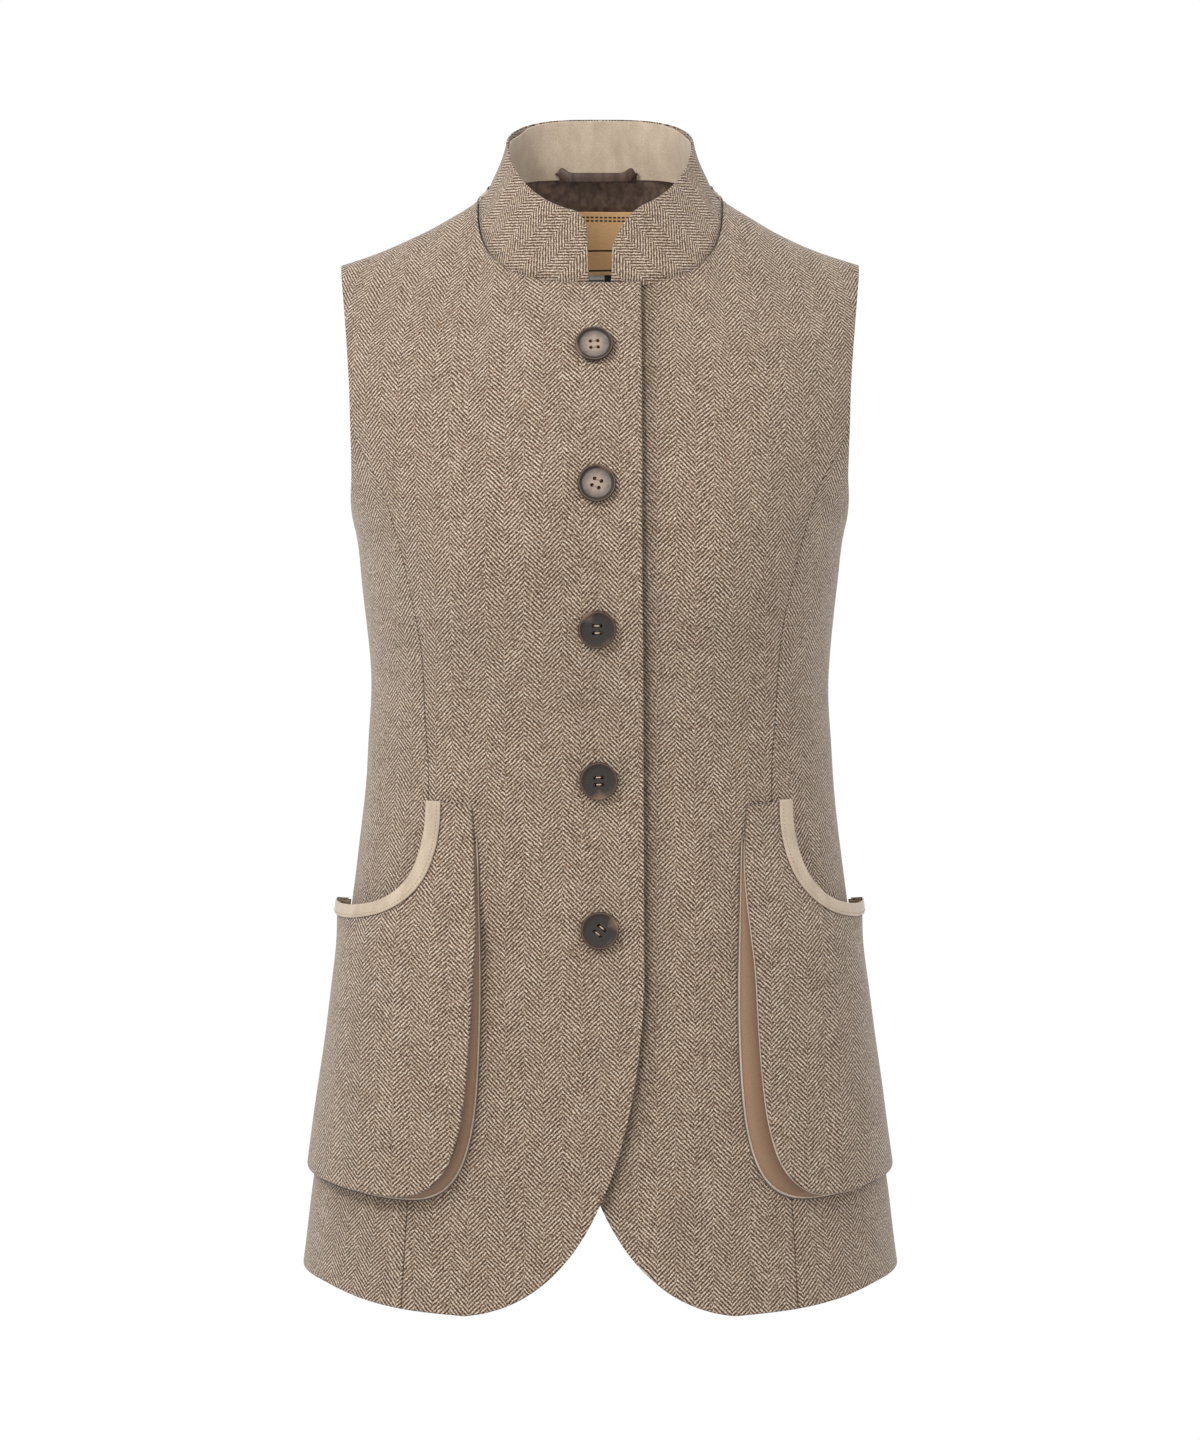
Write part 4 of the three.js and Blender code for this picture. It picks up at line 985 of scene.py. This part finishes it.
def collar_sheet(depth, end_inset, top_share, crease=None):
    """The place function of a sheet that lies that deep behind the collar's outer side."""
    start = COLLAR_START + end_inset
    least_climb = 1.0 if depth > 0 else 0.0

    def place(u, v):
        s = 2 * u - 1
        side = np.where(s < 0, -1.0, 1.0)
        degrees = lerp(180, start, np.abs(s))
        rise = v * collar_height(side, degrees, start) * top_share
        point = collar_point(side, degrees, rise, least_climb)
        d = np.clip(degrees, COLLAR_START + 3.5, 176)
        along = (collar_point(side, d + 3.5, rise, least_climb)
                 - collar_point(side, d - 3.5, rise, least_climb))
        up = collar_point(side, d, np.ones_like(d)) - collar_point(side, d, np.zeros_like(d))
        inward = unit(np.cross(up, along) * side[..., None])
        found = point + inward * depth
        if crease is not None:
            found = found + inward * crease(found, v)[..., None]
        return found

    return place


def collar_cut(place):
    """The collar is cut on the bias, with its two halves mirrored."""
    def cut(u, v):
        points = place(u, v)
        steps = np.linalg.norm(np.diff(points[..., :2], axis=1), axis=-1)
        run = np.concatenate([np.zeros_like(u[:, :1]), np.cumsum(steps, 1)], 1)
        away = np.minimum(run, run[:, -1:] - run)
        up = points[..., 2]
        return np.stack([-away - up, up - away], -1) * (1.12 / np.sqrt(2))
    return cut


def collar_roll(points, v):
    """The collar swells a little above its neck seam."""
    return -0.9 * smooth_step(0, 0.09, v) * (1 - smooth_step(0.12, 0.7, v))


def collar_shade(points, v):
    """Painted shade: the collar is darker down in its neck seam."""
    return 0.5 * hump(v * COLLAR_HEIGHT, 0, 1.9)


def facing_crease(points, v):
    """Soft creases of the facing, and its seam at the centre back."""
    x, y, z = points[..., 0], points[..., 1], points[..., 2]
    back = smooth_step(0, 30, y)
    soft = 1.3 * np.sin((x + 0.9 * z) / 9) * np.sin(x / 21 + 0.6)
    seam = -1.2 * hump(x, 0.5 + (z - 40) * 0.05, 1.0) - 1.2 * hump(x + 0.35 * z, -14, 1.8)
    return back * (0.9 + soft + seam + 0.45 * np.sin(x / 5.5 + z / 9))


def make_collar():
    us = places(430, 2.2, (0, 0.5, 1))
    place = collar_sheet(0.0, 0.0, 1.0, collar_roll)
    # Its rolled edges get about a third of the usual painted shade (rim), and collar_shade paints shade down
    # in its neck seam.
    lay("collar_tweed", us, lerp(-0.05, 1, places(50, 1.6)), place, collar_cut(place), COLLAR_WALL,
        [TWEED], ["collar"], rolls=(0.9, 0.9, 0.0, 1.3), rim=0.35, shade=collar_shade)
    face = COLLAR_WALL + GAP + TRIM_WALL
    inner = collar_sheet(face, 1.0, 0.975, facing_crease)
    lay("collar_facing_moleskin", us, lerp(-0.09, 1, places(50, 1.6)), inner, None, TRIM_WALL, [MOLESKIN],
        ["collar_facing"], rolls=(0.5, 0.5, 0, 0.6), inward=True)


# Label, tabs and hanger loop

def on_back(x, z, depth):
    """A point inside the back, that deep within the form."""
    w = cloth_height(x, z)
    return on_form(2 - girth_at(x, w), w, -depth)


def back_ribbon(name, box, extra, wall, finish, node):
    start, end, top, bottom = box

    def place(u, v):
        x, z = lerp(start, end, u), lerp(bottom, top, v)
        curl = 0.35 * np.sin(x / 9 + z / 14) + 0.6 * (1 - v) ** 2
        return on_back(x, z, LINING_FACE + extra + wall + curl)

    lay(name, places(end - start, 1.5), places(top - bottom, 1.5), place,
        lambda u, v: np.stack([lerp(start, end, u), lerp(bottom, top, v)], -1), wall,
        [finish], [node], inward=True)


def make_labels():
    back_ribbon("label_ribbon", LABEL, 3.2, 0.6, LABEL_RIBBON, "label")
    back_ribbon("size_tab_tape", SIZE_TAB, 2.0, 0.5, WHITE_TAPE, "size_tab")
    back_ribbon("care_tab_tape", CARE_TAB, 2.0, 0.5, DARK_TAPE, "care_tab")


def make_hanger_loop():
    rim = neck_point(np.array(180.0))
    seam_y = float(on_form(rim[0], rim[1], BODY_WALL)[1])
    front_y = seam_y - LOOP_SEAT

    def strap(u, v):
        c = 2 * u - 1
        away = np.abs(c)
        low = LOOP_Z + 5.6 * smooth_step(0.78, 1.0, away) - 0.5 * (1 - away**2)
        high = LOOP_Z + LOOP_HEIGHT + 3.6 * smooth_step(0.55, 0.86, away) ** 1.5
        high = high - 4.4 * smooth_step(0.86, 1.0, away)
        y = front_y + 5.5 * away**5 - 0.6 * np.sin(v * pi)
        return np.stack([LOOP_MIDDLE + c * LOOP_HALF, y - LOOP_WALL, lerp(low, high, v)], -1)

    lay("hanger_loop_strap", places(60, 1.2), places(8, 0.8), strap, None, LOOP_WALL, [STRAP],
        ["hanger_loop"], rolls=(0.5, 0.5, 0.6, 0.6), inward=True)
    for side, name in ((-1, "right"), (1, "left")):
        def end(u, v, side=side):
            x = LOOP_MIDDLE + side * (LOOP_HALF - 0.4 - 6.4 * u)
            z = lerp(LOOP_Z - 0.4, LOOP_Z + 6.0 + 2.0 * u, v)
            y = front_y + 5.5 * (1 - 0.22 * u) ** 5 + 0.4 + 1.2 * (1 - v)
            return np.stack([x, y, z], -1)

        lay(f"hanger_loop_end_{name}", places(6, 0.8), places(10, 0.8), end, None, 0.8, [STRAP],
            [], rolls=(0.3, 0.3, 0, 0.3), inward=True)
    u = np.linspace(0.12, 0.88, 60)
    line = strap(u, np.full_like(u, 0.2))
    off = np.tile([0.0, -1.0, 0.0], (60, 1))
    stitches("hanger_loop_stitches", (line + off * 0.1, off), 2.2, 1.5, 0.22, 0.25, BROWN_THREAD_AND_PAINTED_SHADOW)


# Pockets

def pocket_stand(girth, w):
    g = np.abs(girth)
    full = smooth_step(-415, -525, w)
    aside = 1 - 0.75 * smooth_step(0.5, 0.95, g)
    lip = 5 * hump(w, -485, 24) * smooth_step(0.55, 0.95, g)
    sewn = 1 - smooth_step(1.0, POCKET_GIRTH, g)
    return BODY_WALL + 0.6 + (13.4 * full * aside + lip) * sewn


def line_through(points):
    """A smooth line through domain points, read by share of its length."""
    spread = np.array(points, float) * [SPREAD, 1]
    chord = np.concatenate([[0], np.cumsum(np.linalg.norm(np.diff(spread, axis=0), axis=1))])
    fine = np.linspace(0, chord[-1], 600)
    path = np.stack([curve(list(zip(chord, spread[:, k])))(fine) for k in (0, 1)], -1)
    run = np.concatenate([[0], np.cumsum(np.linalg.norm(np.diff(path, axis=0), axis=1))])
    run /= run[-1]
    return lambda t: pair(np.interp(t, run, path[:, 0]) / SPREAD, np.interp(t, run, path[:, 1]))


def pocket_lines(shift, gape):
    def fade(x):
        return 1 - smooth_step(115, 185, x)

    def place(x, z):
        return (float(girth_at(x + shift * fade(x), z)), z)

    face = [place(x + gape * fade(x) * smooth_step(-445, -520, z), z) for x, z in FACE_LINE]
    return (
        [place(x, z) for x, z in GUSSET_LINE] + [(POCKET_GIRTH, GUSSET_SIDE_Z)],
        face + [(POCKET_GIRTH, FACE_SIDE_Z)],
        [place(x, z) for x, z in MOUTH] + [(POCKET_GIRTH, MOUTH_SIDE_Z)],
    )


def pocket_patch(face, mouth):
    down = line_through(face[: CORNER_ROW + 1])
    along = line_through(face[CORNER_ROW:])
    opening = line_through(mouth)
    share = 0.2

    def far(v):
        return pair(lerp(face[-1][0], mouth[-1][0], v), lerp(face[-1][1], mouth[-1][1], v))

    def high(u):
        t = (u / share)[..., None]
        top = lerp(np.array(face[0]), np.array(mouth[0]), t)
        return np.where((u < share)[..., None], top, opening((u - share) / (1 - share)))

    return patch(along, high, lambda v: down(1 - v), far)


def make_pocket(side):
    name, shift, gape = POCKETS[side]
    gusset, face, mouth = pocket_lines(shift, gape)
    domain = pocket_patch(face, mouth)

    def face_place(u, v):
        girth, w = domain(u, v)
        return on_form(side * girth, w, pocket_stand(girth, w) + POCKET_WALL)

    def face_cut(u, v):
        return (FLAT.cut(*domain(u, v), 0.0) + [4.0, 1.2]) * [side, 1]

    # Its rolled edges get painted shade in the tweed.
    lay(f"pocket_{name}_face", places(150, 2.2, (0, 0.2, 1)), places(250, 2.2), face_place,
        face_cut, POCKET_WALL, [TWEED, MOLESKIN], [f"pocket_face_{name}"],
        rolls=(1.5, 0.8, 1.4, 0.9))

    on_body, on_face = line_through(gusset), line_through(face)
    middle = on_form(np.array(side * 0.62), np.array(-560.0), BODY_WALL)

    def gusset_place(u, v):
        t = lerp(0.06, 0.95, u)
        a, b = on_body(t), on_face(t)
        foot = on_form(side * a[..., 0], a[..., 1], BODY_WALL + LAYER_GAP)
        head = on_form(side * b[..., 0], b[..., 1], pocket_stand(b[..., 0], b[..., 1]) - LAYER_GAP)
        target = np.broadcast_to(middle, foot.shape).copy()
        target[..., 2] = lerp(a[..., 1], -560, 0.75)
        normal = form_normal(side * a[..., 0], a[..., 1])
        inward = target - foot
        inward = unit(inward - normal * (inward * normal).sum(-1, keepdims=True))
        fold = 0.4 + 5.0 * v * (1 - v) + 0.5 * np.sin(t * 31) * v
        return lerp(foot, head, v[..., None]) + inward * fold[..., None]

    lay(f"pocket_{name}_gusset", places(330, 2.4), places(16, 1.4), gusset_place, None,
        TRIM_WALL, [GUSSET], [f"pocket_gusset_{name}"],
        inward=False)

    t = np.linspace(0.05, 0.95, 150)
    a, b = on_body(t), on_face(t)
    foot = on_form(side * a[..., 0], a[..., 1], BODY_WALL + 0.9)
    head = on_form(side * b[..., 0], b[..., 1], pocket_stand(b[..., 0], b[..., 1]) - 0.2)
    towards = gusset_place((t - 0.06) / 0.89, np.full_like(t, 0.5))
    inward = unit(towards - (foot + head) / 2)
    head = head + inward * (2.6 if side < 0 else 0.6)
    tubes(f"pocket_{name}_piping", [foot, head], 0.9, MOLESKIN)
    # A thin dark tube along the gusset's foot: the painted shadow of its seam with the body.
    tubes(f"pocket_{name}_seam", [foot - inward * 1.15 - [0, 0, 0.1]], 0.4, BROWN_THREAD_AND_PAINTED_SHADOW)

    opening = line_through(mouth)

    def trim_place(u, v):
        width = lerp(-0.8, TRIM_WIDTH, v)
        t = lerp(0.002, 0.998, u)
        here, before, after = opening(t), opening(t - 0.002), opening(t + 0.002)
        around = (after[..., 0] - before[..., 0]) * SPREAD
        up = after[..., 1] - before[..., 1]
        length = np.hypot(around, up)
        girth = here[..., 0] + up / length * width / SPREAD
        w = here[..., 1] - around / length * width
        out = pocket_stand(girth, w) + POCKET_WALL + LAYER_GAP + TRIM_WALL
        return on_form(side * girth, w, out + 0.25 * np.sin(v * pi))

    lay(f"pocket_{name}_trim", places(150, 1.6), places(10.4, 0.9), trim_place, None,
        TRIM_WALL, [MOLESKIN], [f"pocket_trim_{name}"], rolls=(0.5, 0.5, 0.7, 0.7))
    u = np.linspace(0.01, 0.99, 160)
    line = trim_place(u, np.full_like(u, 0.78))
    centre = np.array([0.0, 0.0, 0.0])
    off = unit((line - centre) * [1, 1, 0])
    stitches(f"pocket_{name}_trim_stitches", (line - off * 0.05, off), 2.6, 1.8, 0.2, 0.2,
             TRIM_THREAD)


# Buttons

BUTTON_PROFILE = [
    (0, 0), (0.80, 0), (0.90, 0.22), (0.975, 0.52), (1.0, 0.72), (0.985, 0.90), (0.95, 0.99),
    (0.90, 1.0), (0.85, 0.93), (0.80, 0.78), (0.76, 0.69), (0.60, 0.65), (0, 0.64),
]


def button_mesh():
    """A button with a raised rim, without its holes yet, its axis along Z and its back at 0."""
    disc = bmesh.new()
    bmesh.ops.create_grid(disc, x_segments=len(BUTTON_PROFILE) - 1, y_segments=1, size=1)
    bmesh.ops.delete(disc, geom=[v for v in disc.verts if v.co.y > 0], context="VERTS")
    for vertex in disc.verts:
        x, z = BUTTON_PROFILE[round((vertex.co.x + 1) / 2 * (len(BUTTON_PROFILE) - 1))]
        vertex.co = (x * BUTTON_RADIUS, 0, z * BUTTON_HEIGHT)
    bmesh.ops.spin(disc, geom=disc.verts[:] + disc.edges[:], axis=(0, 0, 1), cent=(0, 0, 0),
                   dvec=(0, 0, 0), angle=tau, steps=72, use_merge=True)
    bmesh.ops.remove_doubles(disc, verts=disc.verts, dist=1e-4)
    bmesh.ops.recalc_face_normals(disc, faces=disc.faces)
    return disc


def drilled(disc):
    """The button with its four holes cut through it."""
    mesh = bpy.data.meshes.new("blank")
    disc.to_mesh(mesh)
    disc.free()
    drill = bmesh.new()
    for across, up in ((-1, -1), (-1, 1), (1, -1), (1, 1)):
        at = Matrix.Translation((across * HOLE_OFFSET, up * HOLE_OFFSET, 0))
        bmesh.ops.create_cone(drill, cap_ends=True, segments=20, radius1=HOLE_RADIUS,
                              radius2=HOLE_RADIUS, depth=4 * BUTTON_HEIGHT, matrix=at)
    cutter_mesh = bpy.data.meshes.new("drill")
    drill.to_mesh(cutter_mesh)
    drill.free()
    blank = bpy.data.objects.new("blank", mesh)
    cutter = bpy.data.objects.new("drill", cutter_mesh)
    for thing in (blank, cutter):
        bpy.context.scene.collection.objects.link(thing)
    cut = blank.modifiers.new("Holes", "BOOLEAN")
    cut.operation = "DIFFERENCE"
    cut.solver = "EXACT"
    cut.object = cutter
    bpy.context.view_layer.update()
    graph = bpy.context.evaluated_depsgraph_get()
    result = bpy.data.meshes.new_from_object(blank.evaluated_get(graph))
    for thing in (blank, cutter):
        bpy.data.objects.remove(thing)
    return result


def make_buttons():
    shape = drilled(button_mesh())
    for number, (x, w, turn, streak, pale) in enumerate(BUTTONS, 1):
        w = np.array(float(w))
        girth = girth_at(np.array(float(x)), w)
        off = Vector(form_normal(girth, w))
        up = (Vector((0, 0, 1)) - off * off.z).normalized()
        frame_of_reference = Matrix((up.cross(off), up, off)).transposed().to_4x4()
        seat = Vector(on_form(girth, w, LAP_LIFT + BODY_WALL + GAP + 0.25))
        spin = Matrix.Rotation(radians(turn), 4, "Z")
        at = Matrix.Translation(seat) @ frame_of_reference @ spin
        disc = bmesh.new()
        disc.from_mesh(shape)
        spots = disc.loops.layers.uv.new("disc")
        swing = Matrix.Rotation(radians(turn - streak), 2)
        for face in disc.faces:
            for loop in face.loops:
                loop[spots].uv = swing @ loop.vert.co.xy / BUTTON_RADIUS
        disc.transform(Matrix.Scale(MM, 4) @ at)
        bmesh.ops.recalc_face_normals(disc, faces=disc.faces)
        piece = finish_piece(f"button_{number}_horn", disc, [PALE_HORN if pale else DARK_HORN],
                             [f"button_{number}"])
        piece.data.set_sharp_from_angle(angle=radians(35))
        paths = []
        for row in (-1, 1):
            steps = np.linspace(-1, 1, 11)
            rise = BUTTON_HEIGHT * 0.64 - 1.4 + 1.65 * (1 - steps**2) ** 0.5
            line = np.stack([steps * (HOLE_OFFSET - 0.5), row * HOLE_OFFSET + 0 * steps, rise], -1)
            paths.append([at @ Vector(p) for p in line])
        tubes(f"button_{number}_thread", paths, 0.42, FAWN_THREAD if pale else BEIGE_THREAD,
              sides=6)


# Room, lights and camera

CAMERA_BACK, CAMERA_Z, CAMERA_DOWN = 2.8, -0.171, 3.857
LENS, SENSOR = 100.125, 36


def make_room():
    world = bpy.data.worlds.new("Studio")
    world.use_nodes = True
    sky = world.node_tree.nodes["Background"].inputs
    sky["Color"].default_value = (1, 1, 1, 1)
    sky["Strength"].default_value = 1.0
    bpy.context.scene.world = world
    bpy.context.scene.view_settings.view_transform = "Standard"


def add_light(name, place, target, size, power):
    light = bpy.data.lights.new(name, "AREA")
    light.shape = "DISK"
    light.size = size
    light.energy = power
    thing = bpy.data.objects.new(name, light)
    thing.location = place
    thing.rotation_euler = (Vector(target) - Vector(place)).to_track_quat("-Z", "Y").to_euler()
    bpy.context.scene.collection.objects.link(thing)


def make_camera():
    lens = bpy.data.cameras.new("camera")
    lens.lens = LENS
    lens.sensor_width = SENSOR
    camera = bpy.data.objects.new("camera", lens)
    camera.location = (0, -CAMERA_BACK, CAMERA_Z)
    camera.rotation_euler = (radians(90 - CAMERA_DOWN), 0, 0)
    bpy.context.scene.collection.objects.link(camera)
    bpy.context.scene.camera = camera


make_body()
make_lining()
make_collar()
make_labels()
make_hanger_loop()
make_pocket(-1)
make_pocket(1)
make_buttons()
make_room()
add_light("key", (-1.3, -1.6, 1.0), (0, 0, -0.3), 0.7, 38)
add_light("fill", (1.4, -1.8, 0.7), (0, 0, -0.2), 1.4, 9)
add_light("back", (0.6, 2.2, 1.4), (0, 0, -0.2), 1.4, 10)
make_camera()
